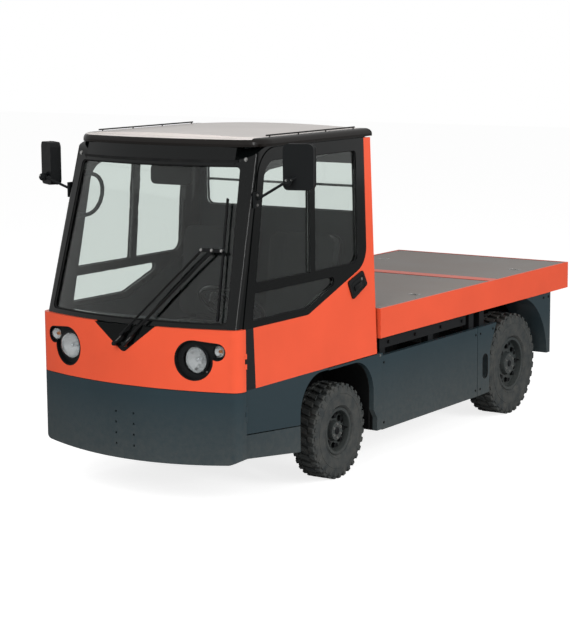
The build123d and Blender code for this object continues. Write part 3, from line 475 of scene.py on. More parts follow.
# ------------------------------------------------------------------ geometry nodes
REALIZE, INSTANCES = "GeometryNodeRealizeInstances", "GeometryNodeInstanceOnPoints"
CYLINDER = "GeometryNodeMeshCylinder"


def tree_with(name, inputs):
    """Geometry tree with one geometry in and out and named inputs; also gives what goes in."""
    tree = bpy.data.node_groups.new(name, "GeometryNodeTree")
    tree.interface.new_socket("Geometry", in_out="INPUT", socket_type="NodeSocketGeometry")
    for label, kind, default in (*inputs, ("Material", "Material", None)):
        socket = tree.interface.new_socket(label, in_out="INPUT", socket_type="NodeSocket" + kind)
        if default is not None:
            socket.default_value = default
    tree.interface.new_socket("Geometry", in_out="OUTPUT", socket_type="NodeSocketGeometry")
    return tree, add(tree, "NodeGroupInput").outputs


def ended(tree, given, last):
    """Ends a tree: instances made real, the finish set."""
    real = add(tree, REALIZE, {"Geometry": last})
    dressed = add(tree, "GeometryNodeSetMaterial", {"Geometry": real, "Material": given["Material"]})
    add(tree, "NodeGroupOutput", {"Geometry": dressed})
    return tree


def fastener_tree():
    """A hexagon head on a washer at each point, facing along the point's facing vector."""
    tree, given = tree_with("fasteners", [("Width", "Float", 0.017), ("Height", "Float", 0.008), ("Sides", "Int", 6)])
    radius = add(tree, MATH, {0: given["Width"], 1: 0.577}, operation="MULTIPLY")
    head = add(tree, CYLINDER, {"Vertices": given["Sides"], "Radius": radius, "Depth": given["Height"]})
    half = add(tree, MATH, {0: given["Height"], 1: 0.5}, operation="MULTIPLY")
    lift = add(tree, "ShaderNodeCombineXYZ", {"Z": half})
    raised = add(tree, "GeometryNodeTransform", {"Geometry": head.outputs["Mesh"], "Translation": lift})
    spread = add(tree, MATH, {0: given["Width"], 1: 0.72}, operation="MULTIPLY")
    washer = add(tree, CYLINDER, {"Vertices": 20, "Radius": spread, "Depth": 0.0024})
    unit = add(tree, "GeometryNodeJoinGeometry")
    for part in (raised.outputs["Geometry"], washer.outputs["Mesh"]):
        tree.links.new(part, unit.inputs["Geometry"])
    facing = add(tree, "GeometryNodeInputNamedAttribute", {"Name": "facing"}, data_type="FLOAT_VECTOR")
    turn = add(tree, "FunctionNodeAlignRotationToVector", {"Vector": facing.outputs["Attribute"]}, axis="Z")
    return ended(tree, given, add(tree, INSTANCES, {"Points": given["Geometry"], "Instance": unit, "Rotation": turn}))


def tread_tree():
    """Sets one pitch of tread blocks round the wheel, Count times."""
    tree, given = tree_with("tread", [("Count", "Int", 32)])
    line = add(tree, "GeometryNodeMeshLine", {"Count": given["Count"], "Offset": (0, 0, 0)})
    step = add(tree, MATH, {0: 2 * math.pi, 1: given["Count"]}, operation="DIVIDE")
    angle = add(tree, MATH, {0: add(tree, "GeometryNodeInputIndex"), 1: step}, operation="MULTIPLY")
    turn = add(tree, "FunctionNodeEulerToRotation", {"Euler": add(tree, "ShaderNodeCombineXYZ", {"Z": angle})})
    return ended(tree, given, add(tree, INSTANCES, {"Points": line, "Instance": given["Geometry"], "Rotation": turn}))


def piping_tree():
    """A round cord along the edges of a mesh."""
    tree, given = tree_with("piping", [("Radius", "Float", 0.005), ("Sides", "Int", 10)])
    line = add(tree, "GeometryNodeMeshToCurve", {"Mesh": given["Geometry"]})
    ring = add(tree, "GeometryNodeCurvePrimitiveCircle", {"Resolution": given["Sides"], "Radius": given["Radius"]})
    return ended(tree, given, add(tree, "GeometryNodeCurveToMesh", {"Curve": line, "Profile Curve": ring, "Fill Caps": True}))


TREES = {"fasteners": fastener_tree, "tread": tread_tree, "piping": piping_tree}


def grown_mesh(name, seed, kind, finish, values):
    """The plain mesh that a geometry tree makes from a seed mesh."""
    tree = bpy.data.node_groups.get(kind) or TREES[kind]()
    obj = bpy.data.objects.new(name + "_seed", seed)
    bpy.context.scene.collection.objects.link(obj)
    modifier = obj.modifiers.new("grow", "NODES")
    modifier.node_group = tree
    sockets = {item.name: item.identifier for item in tree.interface.items_tree if item.in_out == "INPUT"}
    for label, value in {**values, "Material": FINISHES[finish]}.items():
        modifier[sockets[label]] = value
    bpy.context.view_layer.update()
    evaluated = obj.evaluated_get(bpy.context.evaluated_depsgraph_get())
    mesh = bpy.data.meshes.new_from_object(evaluated)
    obj.modifiers.remove(modifier)
    bpy.data.objects.remove(obj)
    return mesh


def fasteners(name, places, finish, body, width=0.017, height=0.008, sides=6):
    """Bolt heads at (point, facing) places."""
    seed = bpy.data.meshes.new(name + "_points")
    seed.from_pydata([tuple(p) for p, _ in places], [], [])
    facing = seed.attributes.new("facing", "FLOAT_VECTOR", "POINT")
    for index, (_, way) in enumerate(places):
        facing.data[index].vector = Vector(way).normalized()
    mesh = grown_mesh(name, seed, "fasteners", finish, {"Width": width, "Height": height, "Sides": sides})
    return piece(name, mesh, finish, body, 30)


def piping(name, paths, finish, body, radius, sides=10, ring=False):
    """Round cords along paths, as one piece; a ring joins each path's ends."""
    corners, edges = [], []
    for points in paths:
        first = len(corners)
        corners += [tuple(p) for p in points]
        edges += [(first + k, first + k + 1) for k in range(len(points) - 1)]
        if ring:
            edges.append((len(corners) - 1, first))
    seed = bpy.data.meshes.new(name + "_path")
    seed.from_pydata(corners, edges, [])
    mesh = grown_mesh(name, seed, "piping", finish, {"Radius": radius, "Sides": sides})
    return piece(name, mesh, finish, body, 50)


# ------------------------------------------------------------------ shapes shared by the pieces
def outward(where):
    """The way that a matrix's z points."""
    return where.to_3x3() @ Vector((0, 0, 1))


def front_y(x):
    """y of the bowed front panel at x."""
    return -1.106 + 0.117 * (x / 0.648) ** 2


def side_x(z):
    """x of the cab's left side at height z."""
    return SIDE_X - max(z - SIDE_FOOT_Z, 0) * math.tan(SIDE_LEAN)


def screen_point(x, z, inset=0.0):
    """A point on the bowed windscreen's surface, inset inwards."""
    half = side_x(z) - 0.004 - inset
    corner = -0.975 + 0.28 * (z - 0.963) + inset
    bow = 0.112
    radius = (half ** 2 + bow ** 2) / (2 * bow)
    return at(x, corner - bow + radius - math.sqrt(max(radius ** 2 - x ** 2, 0.0)), z)


def side_frame(side):
    """Matrix of a cab side: x runs to the rear, y up the leaning side, z outwards."""
    out = Vector((side * math.cos(SIDE_LEAN), 0, math.sin(SIDE_LEAN)))
    up = Vector((-side * math.sin(SIDE_LEAN), 0, math.cos(SIDE_LEAN)))
    turn = Matrix((Vector((0, 1, 0)), up, out)).transposed().to_4x4()
    return Matrix.Translation(at(side * SIDE_X, 0, SIDE_FOOT_Z)) @ turn


# openings of the side windows in that frame, metres: corners and roundings
SIDE_WINDOWS = (
    (((-0.838, 0.346), (-0.345, 0.346), (0.050, 0.485), (-0.808, 0.485)), (0.010, 0.060, 0.024, 0.010)),
    (((-0.796, 0.533), (-0.296, 0.533), (-0.262, 1.147), (-0.672, 1.147)), (0.010, 0.006, 0.006, 0.110)),
    (((-0.248, 0.533), (0.180, 0.533), (0.194, 1.147), (-0.214, 1.147)), (0.006, 0.062, 0.025, 0.006)),
)

# wheels: outer radius, rim flange radius, width, outer face, axle's place
WHEELS = {"front": (0.266, 0.131, 0.160, 0.617, 0.0), "rear": (0.322, 0.168, 0.186, 0.609, 2.052)}


def wheel_frame(end, side):
    """Matrix of a wheel: z runs out along the axle from the tyre's middle plane."""
    r, _, width, face, y = WHEELS[end]
    return frame_of(at(side * (face - width / 2), y, r), (side, 0, 0))


def tread_block(bm, x0, x1, skew, half_angle, base, top, taper=0.8):
    """One rubber block on a drum about z: between heights x0 and x1, its far end turned by skew."""
    rows = []
    mid = (x0 + x1) / 2
    for radius, share, length in ((base, 1.0, 1.0), (top, taper, 0.93)):
        reach = (x1 - x0) / 2 * length
        rows.append([bm.verts.new((radius * math.cos(a), radius * math.sin(a), x))
                     for x, turn in ((mid - reach, 0.0), (mid + reach, skew))
                     for a in (turn + k * half_angle * share for k in (-1, 0, 1))])
    low, high = rows
    for a, b in ((0, 1), (1, 2)):
        bm.faces.new((high[a], high[b], high[b + 3], high[a + 3]))
        bm.faces.new((low[a], low[b], high[b], high[a]))
        bm.faces.new((low[a + 3], low[b + 3], high[b + 3], high[a + 3]))
        bm.faces.new((low[a], low[b], low[b + 3], low[a + 3]))
    for k in (0, 2):
        bm.faces.new((low[k], low[k + 3], high[k + 3], high[k]))


def wiper_frame(along, up, out=0.0):
    """Matrix at a point of the plane that the wiper arms swing in, z out of that plane."""
    way = Vector((0.15, -1, 0.28)).normalized()
    right = Vector((1, 0.15, 0)).normalized()
    turn = Matrix((right, way.cross(right), way)).transposed().to_4x4()
    return shifted(Matrix.Translation(at(-0.027, -1.160, 0.868)) @ turn, along, up, out)


# ------------------------------------------------------------------ operators
class TUG_OT_finishes(Operator):
    """Gives every solid of the frame its finish"""
    bl_idname = "tug.finishes"
    bl_label = "Finishes"

    def execute(self, context):
        tint = context.scene.tug_colours
        body, lower, frame, roof = tuple(tint.body), tuple(tint.lower), tuple(tint.frame), tuple(tint.roof)
        # baked coats: broad soft highlights on the panels, tight ones on the glossy black frame
        FINISHES["body"] = lacquer("orange_baked_lacquer", body, 0.3, 0.2)
        FINISHES["lower"] = lacquer("blue_grey_textured_lacquer", lower, 0.42, 0.15, 0.00008, dust=0.3)
        FINISHES["frame"] = lacquer("black_gloss_lacquer", frame, 0.14, 0.35, dust=0.0)
        FINISHES["chassis"] = lacquer("black_chassis_enamel", linear("#141618"), 0.45, 0.0, dust=0.5)
        FINISHES["rim"] = lacquer("wheel_enamel", tuple(tint.rim), 0.35, 0.2, dust=0.15)
        FINISHES["door"] = door_lacquer("three_coat_door_lacquer", body, lower, linear("#16181A"))
        # the roof: matt pale gelcoat, black and glossier where it curls over
        FINISHES["roof"] = lacquer("pale_gelcoat_roof", roof, 0.4, 0.3, dust=0.0)
        FINISHES["roof_rim"] = roof_lacquer("pale_and_black_roof_lacquer", roof, linear("#14110F"))
        # plastics: a fine even grain that breaks up every reflection, smoother on handled parts
        FINISHES["plastic"] = moulded("black_grained_abs", linear("#121415"))
        FINISHES["smooth_plastic"] = moulded("black_smooth_nylon", linear("#0C0D0E"), 0.35, 0.001, 0.00002)
        FINISHES["liner"] = moulded("black_arch_liner", linear("#090A0B"), 0.8)
        FINISHES["inside"] = moulded("grey_trim_plastic", linear("#1B2527"), 0.6)
        FINISHES["bezel"] = moulded("black_lamp_bezel", linear("#16191B"), 0.3, 0.002, 0.00002)
        FINISHES["red_lens"] = moulded("red_acrylic", linear("#8E1410"), 0.15, 0.004, 0.0003)
        FINISHES["dark_glass"] = moulded("dark_display_acrylic", linear("#0A1012"), 0.1, 0.01, 0.00001)
        FINISHES["vinyl"] = moulded("seat_piping_vinyl", linear("#17191A"), 0.5, 0.0012, 0.00004)
        # glass: seen through, with a green cast in the panes only
        FINISHES["pane"] = glazing("green_tinted_glass", tuple(tint.pane))
        FINISHES["lens"] = glazing("clear_polycarbonate", linear("#F4F6F6"), 0.03)
        FINISHES["amber"] = glazing("amber_bulb_glass", linear("#F08A30"), 0.1)
        # board, cloth and rubber: dull, and they take the dust
        FINISHES["deck"] = faced_board("resin_faced_plywood", tuple(tint.deck))
        FINISHES["cloth"] = cloth("woven_seat_cloth", linear("#1C2122"))
        FINISHES["rubber"] = rubber("tyre_rubber", tuple(tint.rubber))
        FINISHES["seal"] = rubber("seal_rubber", linear("#0E0F10"), 0.6, 0.05)
        # metals: small bright glints, dark on the blackened nuts
        FINISHES["steel"] = bright_metal("zinc_plated_steel", linear("#C9C9C6"))
        FINISHES["chrome"] = bright_metal("bright_chrome", linear("#E6E8EA"), 0.06)
        FINISHES["nut"] = bright_metal("black_zinc_nuts", linear("#3A3C3E"), 0.4)
        # the reflector is aluminised metal, and its share of matt white is a painted reflection that makes it bright
        # whatever it faces
        FINISHES["facets"] = bright_metal("aluminised_reflector_painted_bright", linear("#F2F4F5"), 0.14, metallic=0.7)
        FINISHES["mirror"] = bright_metal("silvered_glass", linear("#D8DCDE"), 0.02, 0.05)
        wheels = [f"{end}_{side}" for end in WHEELS for side in SIDES]
        coats = {
            "body": ["front_panel", "deck_frame"],
            "lower": ["front_apron", "side_panels", "side_skirts", "skirt_ends", "rear_fenders"],
            "frame": ["wiper_cover", "cab_frame", "door_left_frame", "door_right_frame"],
            "chassis": ["chassis_frame", "rear_axle", "front_axle", "knuckle_left", "knuckle_right", "rear_panel",
                        "battery"],
            "door": ["door_left_panel", "door_right_panel"],
            "plastic": ["lamp_bezels", "door_left_handle", "door_right_handle", "mirror_left", "mirror_right"],
            "smooth_plastic": ["wiper_arm_long", "wiper_arm_short", "wiper_blade", "steering_wheel"],
            "liner": ["wheel_arches"],
            "inside": ["cab_floor", "dashboard", "cab_rear_wall"],
            "pane": ["windscreen", "rear_window", "door_left_glass", "door_right_glass"],
            "lens": ["headlamps", "indicators"],
            "red_lens": ["tail_lamps"], "roof": ["roof_skin"], "roof_rim": ["roof"], "deck": ["deck_plates"],
            "rubber": [f"tyre_{wheel}" for wheel in wheels], "rim": [f"rim_{wheel}" for wheel in wheels],
            "steel": ["tow_pin"], "cloth": ["seats"],
        }
        for coat, names in coats.items():
            for name in names:
                materials = NODES[name].data.materials
                materials.clear()
                materials.append(FINISHES[coat])
        return {"FINISHED"}


class TUG_OT_tyres(Operator):
    """Moulds the tyres: carcass with bead rings, and three rows of tread blocks"""
    bl_idname = "tug.tyres"
    bl_label = "Tyres"

    def execute(self, context):
        lugs = context.scene.tug_sizes.lugs
        pitch = 2 * math.pi / lugs
        for end, (r, flange, width, _, _) in WHEELS.items():
            base, h = r - 0.013, width / 2
            foot, crest = base - 0.004, r - 0.0004
            unit = bmesh.new()
            tread_block(unit, h * 0.44, h - 0.009, pitch * 0.16, pitch * 0.30, foot, crest)
            tread_block(unit, 0.012 - h, -h * 0.44, -pitch * 0.16, pitch * 0.30, foot, crest)
            tread_block(unit, -h * 0.37, h * 0.37, pitch * 0.30, pitch * 0.33, foot, crest)
            for x0, x1 in ((0.0025 - h, 0.012 - h), (h - 0.012, h - 0.0025)):     # the lugs' feet over the shoulders
                tread_block(unit, x0, x1, 0, pitch * 0.22, base - 0.034, foot, 0.95)
            bevelled(unit, 0.0016, 1)
            seed = bpy.data.meshes.new("tread_pitch")
            unit.to_mesh(seed)
            unit.free()
            tread = grown_mesh("tread", seed, "tread", "rubber", {"Count": lugs})
            wall = (flange + base) / 2
            half = [(flange - 0.009, h - 0.022), (flange, h - 0.022), (flange + 0.006, h - 0.012),
                    (flange + 0.010, h - 0.007), (flange + 0.013, h - 0.0035), (flange + 0.017, h - 0.003),
                    (flange + 0.0185, h - 0.0048), (wall - 0.018, h - 0.0022), (wall, h - 0.0004),
                    (wall + 0.014, h - 0.0008), (wall + 0.0155, h - 0.0028), (wall + 0.0175, h - 0.0028),
                    (wall + 0.019, h - 0.0012), (base - 0.030, h - 0.0030), (base - 0.010, h - 0.0075), (base, h - 0.014)]
            profile = [(a, -b) for a, b in half] + half[::-1]
            for tag, side in SIDES.items():
                bm = bmesh.new()
                bm.from_mesh(tread)
                lathe(bm, profile + profile[:1], Matrix.Identity(4), 96)
                bm.transform(wheel_frame(end, side))
                name = f"tyre_{end}_{tag}"
                tyre = piece(f"{name}_rubber", bm, "rubber", f"wheel_{end}_{tag}", 32)
                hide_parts(name)
        return {"FINISHED"}


class TUG_OT_wheels(Operator):
    """Sets nuts, hub cover, lock ring and valve on every wheel"""
    bl_idname = "tug.wheels"
    bl_label = "Wheel fittings"

    def execute(self, context):
        count, across = context.scene.tug_sizes.wheel_nuts, context.scene.tug_sizes.nut_width
        for end, (_, flange, width, _, _) in WHEELS.items():
            barrel, h = flange - 0.0094, width / 2
            dish, edge, lip, cap = h - 0.0494, barrel - 0.006, h - 0.013, h - 0.022
            for tag, side in SIDES.items():
                where, body, mark = wheel_frame(end, side), f"wheel_{end}_{tag}", f"{end}_{tag}"
                out = outward(where)
                nuts = [(where @ Vector((x, y, dish)), out) for x, y in on_ring(barrel * 0.68, count)]
                fasteners(f"wheel_nuts_{mark}", nuts, "nut", body, across, 0.016)
                studs = [(where @ Vector((x, y, h - 0.0222)), out) for x, y in on_ring(barrel * 0.42 * 0.74, 6, 0.5)]
                fasteners(f"hub_studs_{mark}", studs, "steel", body, 0.011, 0.006)
                turned(f"hub_cap_{mark}", [(0.0, cap + 0.005), (0.016, cap + 0.005), (0.021, cap + 0.002),
                                           (0.022, cap - 0.003), (0.0, cap - 0.003)], [where], "nut", body, 32, 30)
                turned(f"lock_ring_{mark}", [(edge - 0.004, lip - 0.003), (edge - 0.001, lip + 0.001),
                                             (flange - 0.004, lip + 0.001), (flange - 0.001, lip - 0.002),
                                             (flange - 0.002, lip - 0.008), (edge - 0.004, lip - 0.008),
                                             (edge - 0.004, lip - 0.003)], [where], "rim", body, 72, 40)
                # black discs with a raised edge in the dish's hand holes: the edge stands for each hole's rim, and the
                # black face is painted shade, standing for the dark seen through the hole
                holes = [shifted(where, x, y, dish + 0.0002) for x, y in on_ring(barrel * 0.79, count, 0.5)]
                turned(f"hole_shade_discs_{mark}", [(0.0, 0.0), (0.009, 0.0), (0.0105, 0.0014), (0.012, 0.0), (0.012, -0.003),
                                                (0.0, -0.003), (0.0, 0.0)], holes, "liner", body, 20, 30)
                turned(f"valve_{mark}", [(0.0, 0.026), (0.0035, 0.026), (0.004, 0.022), (0.0033, 0.020), (0.0033, 0.004),
                                         (0.006, 0.0), (0.0, 0.0)], [shifted(where, barrel * 0.90, 0, dish)], "seal", body,
                       16, 30)
        return {"FINISHED"}


class TUG_OT_lamps(Operator):
    """Builds the front lamps: clear shells over faceted reflectors, bulbs and bezel rings"""
    bl_idname = "tug.lamps"
    bl_label = "Lamps"

    def execute(self, context):
        # node, bulb, place on the front, lens radius, bowl's depth and bulb's size against the headlamp's
        lamps = {"headlamp": ("headlamps", "chrome", 0.412, 0.803, 0.069, 1.0, 1.0),
                 "turn_lamp": ("indicators", "amber", 0.535, 0.851, 0.032, 0.032 / 0.069, 0.75)}
        for kind, (node, glass, x, z, lens, k, j) in lamps.items():
            crown = [(0.0, 0.0), (lens * 0.30, -0.0003), (lens * 0.62, -0.0014), (lens * 0.80, -0.0036),
                     (lens * 0.92, -0.0080), (lens * 0.985, -0.0140 * k - 0.002), (lens, -0.026), (lens - 0.002, -0.026)]
            inner = [(r - 0.002 if r > 0.01 else r, h - 0.0022) for r, h in crown[:-1]][::-1]
            bowl = [(lens - 0.0026, -0.0155), (lens * 0.94, -0.0165), (lens * 0.86, -0.026 * k - 0.003),
                    (lens * 0.66, -0.040 * k - 0.003), (lens * 0.40, -0.055 * k - 0.002), (lens * 0.20, -0.062 * k),
                    (0.0, -0.063 * k)]
            bulb = [(r * j, -h * j) for r, h in ((0.0, 0.022), (0.006, 0.023), (0.0105, 0.028), (0.012, 0.035),
                                                 (0.0115, 0.044), (0.013, 0.046), (0.013, 0.060), (0.0, 0.060))]
            ring = [(lens + r, -h) for r, h in ((0.0006, 0.0270), (0.0006, 0.0185), (0.0020, 0.0165), (0.0060, 0.0175),
                                                (0.0075, 0.0200), (0.0075, 0.0270), (0.0006, 0.0270))]
            for tag, side in SIDES.items():
                where = frame_of(at(side * x, front_y(x) + 0.008, z), (0, -1, 0))
                shell = turned(f"{kind}_shell_{tag}", crown + inner, [where], "lens", "chassis", 64, 50)
                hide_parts(node)
                turned(f"{kind}_reflector_{tag}", bowl, [where @ Matrix.Rotation(0.13, 4, "Z")], "facets", "chassis", 18, 4)
                turned(f"{kind}_bulb_{tag}", bulb, [where], glass, "chassis", 24, 40)
                turned(f"{kind}_ring_{tag}", ring, [where], "bezel", "chassis", 64, 40)
                if kind == "headlamp":
                    screws = [(where @ Vector((sx, sy, -0.0315)), (0, -1, 0)) for sx, sy in on_ring(lens + 0.012, 3, 0.625)]
                    fasteners(f"headlamp_screws_{tag}", screws, "steel", "chassis", 0.008, 0.003, 12)
        return {"FINISHED"}


class TUG_OT_gaskets(Operator):
    """Runs the rubber gaskets round the windscreen, the side panes and the rear window"""
    bl_idname = "tug.gaskets"
    bl_label = "Gaskets"

    def execute(self, context):
        radius = context.scene.tug_sizes.gasket
        outline = rounded_loop([(-0.572, 0.986), (0.572, 0.986), (0.518, 1.768), (-0.518, 1.768)], 0.026)
        filled = []
        for k, corner in enumerate(outline):
            following = outline[(k + 1) % len(outline)]
            steps = max(1, round((following - corner).length / 0.06))
            filled += [corner.lerp(following, s / steps) for s in range(steps)]
        middle = Vector((0, 1.377))
        loop = [screen_point(*(p + (middle - p).normalized() * 0.003), 0.0085) for p in filled]
        piping("windscreen_gasket", [loop], "seal", "chassis", radius * 0.8, ring=True)
        for tag, side in SIDES.items():
            where = side_frame(side)
            paths = [[where @ Vector((p.x, p.y, -0.0105)) for p in rounded_loop(*window)] for window in SIDE_WINDOWS]
            piping(f"side_gasket_{tag}", paths, "seal", f"door_{tag}", radius * 0.55, ring=True)
        loop = [at(p.x, 0.3505, p.y) for p in oblong(-0.510, 1.437, 0.510, 1.711, 0.040)]
        piping("rear_window_gasket", [loop], "seal", "chassis", radius * 0.8, ring=True)
        return {"FINISHED"}


class TUG_OT_header(Operator):
    """Sets the header's bolts, the trim under it and the roof seam"""
    bl_idname = "tug.header"
    bl_label = "Header and roof"

    def execute(self, context):
        bolts = [(screen_point(side * 0.540, 1.800), (0, -1, 0.28)) for side in (-1, 1)]
        fasteners("header_bolts", bolts, "steel", "chassis", 0.015, 0.006)
        bm = bmesh.new()
        sweep(bm, [screen_point(k * 0.05, 1.788, 0.004) for k in range(-10, 11)],
              [(-0.004, -0.010), (0.006, -0.008), (0.006, 0.008), (-0.004, 0.010)])
        piece("header_trim", bm, "seal", "chassis", 40)
        xs = [x for x in (-0.018 + k * 0.0555 for k in range(11)) if abs(x) < 0.536]
        rim = [at(x, -0.476 - (x + 0.018) * 0.348, 1.9036 + 0.0160 * (1 - (x / 0.547) ** 2)) for x in xs]
        piping("roof_seam", [rim], "seal", "chassis", 0.0015, 6)
        return {"FINISHED"}


class TUG_OT_mirrors(Operator):
    """Fits the mirror glasses, their rims and the clamps on the arms"""
    bl_idname = "tug.mirrors"
    bl_label = "Mirrors"

    def execute(self, context):
        w, d, h = 0.158, 0.060, 0.232       # the housings
        reach_x = 0.902                     # the vehicle's half width over them
        clamp_form = [(0.0, -0.016), (0.0165, -0.016), (0.0185, -0.012), (0.0185, -0.003), (0.0150, -0.001),
                      (0.0150, 0.001), (0.0185, 0.003), (0.0185, 0.012), (0.0165, 0.016), (0.0, 0.016)]
        for tag, side in SIDES.items():
            turn, cz = {"left": (19.5, 1.770), "right": (30.5, 1.730)}[tag]
            spin = math.radians(turn)
            cx = reach_x - (w * abs(math.cos(spin)) + d * abs(math.sin(spin))) / 2
            here = Matrix.Translation(at(side * cx, -0.690, cz)) @ Matrix.Rotation(side * spin, 4, "Z")
            back = shifted(here, 0, d / 2) @ Matrix.Rotation(math.radians(-90), 4, "X")
            body = f"door_{tag}"
            slab(f"mirror_glass_{tag}", centred(w - 0.024, h - 0.024, 0.020), back, -0.0004, 0.0006, "mirror", body,
                 degrees=30)
            rim = [back @ Vector((p.x, p.y, -0.001)) for p in centred(w - 0.012, h - 0.012, 0.024)]
            piping(f"mirror_rim_{tag}", [rim], "seal", body, 0.0038, 8, ring=True)
            seam = [back @ Vector((p.x * 0.999, p.y * 0.999, -0.016)) for p in centred(w, h, 0.028)]
            piping(f"mirror_seam_{tag}", [seam], "plastic", body, 0.0018, 6, ring=True)
            depth = (w * abs(math.sin(spin)) + d * math.cos(spin)) / 2
            elbow = at(side * (cx - 0.020), -0.712 - depth, cz - h / 2 + 0.050)
            clamps = [frame_of(elbow + Vector((0, -0.004, -0.004)), (side * 0.2 + tilt, -1, 0.3 - tilt))
                      for tilt in (0.0, 0.5)]
            turned(f"mirror_clamp_{tag}", clamp_form, clamps, "plastic", body, 24)
            bolts = [(elbow + Vector((side * 0.004, -0.020, 0.004)), (0, -1, 0.1)),
                     (elbow + Vector((side * 0.019, 0, 0.002)), (side, 0, 0))]
            fasteners(f"mirror_clamp_bolts_{tag}", bolts, "steel", body, 0.009, 0.006)
            bolts = [(at(side * (side_x(1.600) + 0.0120), -0.774, z), (side, 0, 0)) for z in (1.575, 1.625)]
            fasteners(f"mirror_bracket_bolts_{tag}", bolts, "steel", body, 0.011, 0.005)
        return {"FINISHED"}


class TUG_OT_handles(Operator):
    """Finishes the door handles: pocket, pull lever, lock and screws"""
    bl_idname = "tug.handles"
    bl_label = "Door handles"

    def execute(self, context):
        loop = centred(0.120, 0.072, 0.012)
        lip, deep = ([Vector((p.x * a, p.y * b)) for p in loop] for a, b in ((0.95, 0.92), (0.90, 0.84)))
        for tag, side in SIDES.items():
            turn = side_frame(side)
            body = f"door_{tag}"
            here = shifted(turn, 0.161, 0.4125, 0.0085) @ Matrix.Rotation(math.atan2(0.048, 0.153), 4, "Z")
            bm = bmesh.new()
            stepped(bm, here, [(loop, -0.0004), (loop, 0.0012), (lip, 0.0012), (deep, 0.0002)])
            piece(f"handle_pocket_{tag}", bm, "liner", body, 30)
            slab(f"handle_lever_{tag}", oblong(-0.046, -0.020, 0.030, 0.010, 0.007), here, 0.0004, 0.0075,
                 "smooth_plastic", body, 0.002, degrees=30)
            turned(f"door_lock_{tag}", [(0.0, 0.0050), (0.0062, 0.0050), (0.0080, 0.0035), (0.0085, 0.0), (0.0, 0.0)],
                   [shifted(here, 0.042, 0.018)], "steel", body, 28, 30)
            screws = [(here @ Vector((sx * 0.063, sy * 0.026, 0.0003)), outward(turn)) for sx in (-1, 1) for sy in (-1, 1)]
            fasteners(f"handle_screws_{tag}", screws, "nut", body, 0.006, 0.002, 12)
            caps = [(at(side * 0.644, -0.928, z + s * 0.040), (0, 0, s)) for z in (0.530, 0.800) for s in (-1, 1)]
            fasteners(f"hinge_caps_{tag}", caps, "nut", body, 0.009, 0.003, 16)
        return {"FINISHED"}


class TUG_OT_wiper(Operator):
    """Dresses the wiper: spindle nuts, carrier bolts, springs, hose and rubber lip"""
    bl_idname = "tug.wiper"
    bl_label = "Wiper"

    def execute(self, context):
        out = outward(wiper_frame(0, 0))
        pivots = {"wiper_arm_long": 0.0, "wiper_arm_short": 0.060}
        arm = Vector((0.454, 0.503))        # from the pivot to the carrier
        unit = arm / math.hypot(*arm)
        spots = {body: ("nut", [(x, 0.0, -0.0155)]) for body, x in pivots.items()}
        spots["wiper_blade"] = ("steel", [(x, 0.503, 0.0090) for x in (0.454, 0.514, 0.5696)])
        for body, (metal, points) in spots.items():
            bolts = [(wiper_frame(*point) @ Vector(), out) for point in points]
            fasteners(f"{body}_bolts", bolts, metal, body, 0.011, 0.005)
        for (body, pivot), high in zip(pivots.items(), (0.655, 0.64)):
            low = 0.10
            points = [wiper_frame(pivot + unit.x * s, unit.y * s, 0.0050) @ Vector() for s in (low, (low + high) / 2, high)]
            piping(f"{body}_line", [points], "seal", body, 0.0022, 8)
            # thirty-six points along 42 mm, wound by 1100 radians a metre
            spring = [wiper_frame(pivot + unit.x * s, unit.y * s, -0.0135)
                      @ Vector((0.002 * math.cos(s * 1100), 0.002 * math.sin(s * 1100), 0.003))
                      for s in (0.020 + 0.0012 * k for k in range(36))]
            piping(f"{body}_spring", [spring], "steel", body, 0.0008, 5)
        foot, top = Vector((0.581, 0.152)), Vector((0.561, 0.770))
        way = (top - foot).normalized()
        bm = bmesh.new()
        sweep(bm, [wiper_frame(*(foot + way * s), -0.0218) @ Vector() for s in (0.0, 0.309, 0.618)],
              [(-0.0030, 0.0018), (0.0030, 0.0018), (0.0030, -0.0010), (0.0008, -0.0030), (0.0006, -0.0075),
               (-0.0006, -0.0075), (-0.0008, -0.0030), (-0.0030, -0.0010)], out)
        piece("wiper_rubber", bm, "seal", "wiper_blade", 30)
        fasteners("cover_nozzle", [(at(-0.005, -1.1055, 0.861), (0, -1, 0.4))], "nut", "chassis", 0.012, 0.006, 16)
        return {"FINISHED"}


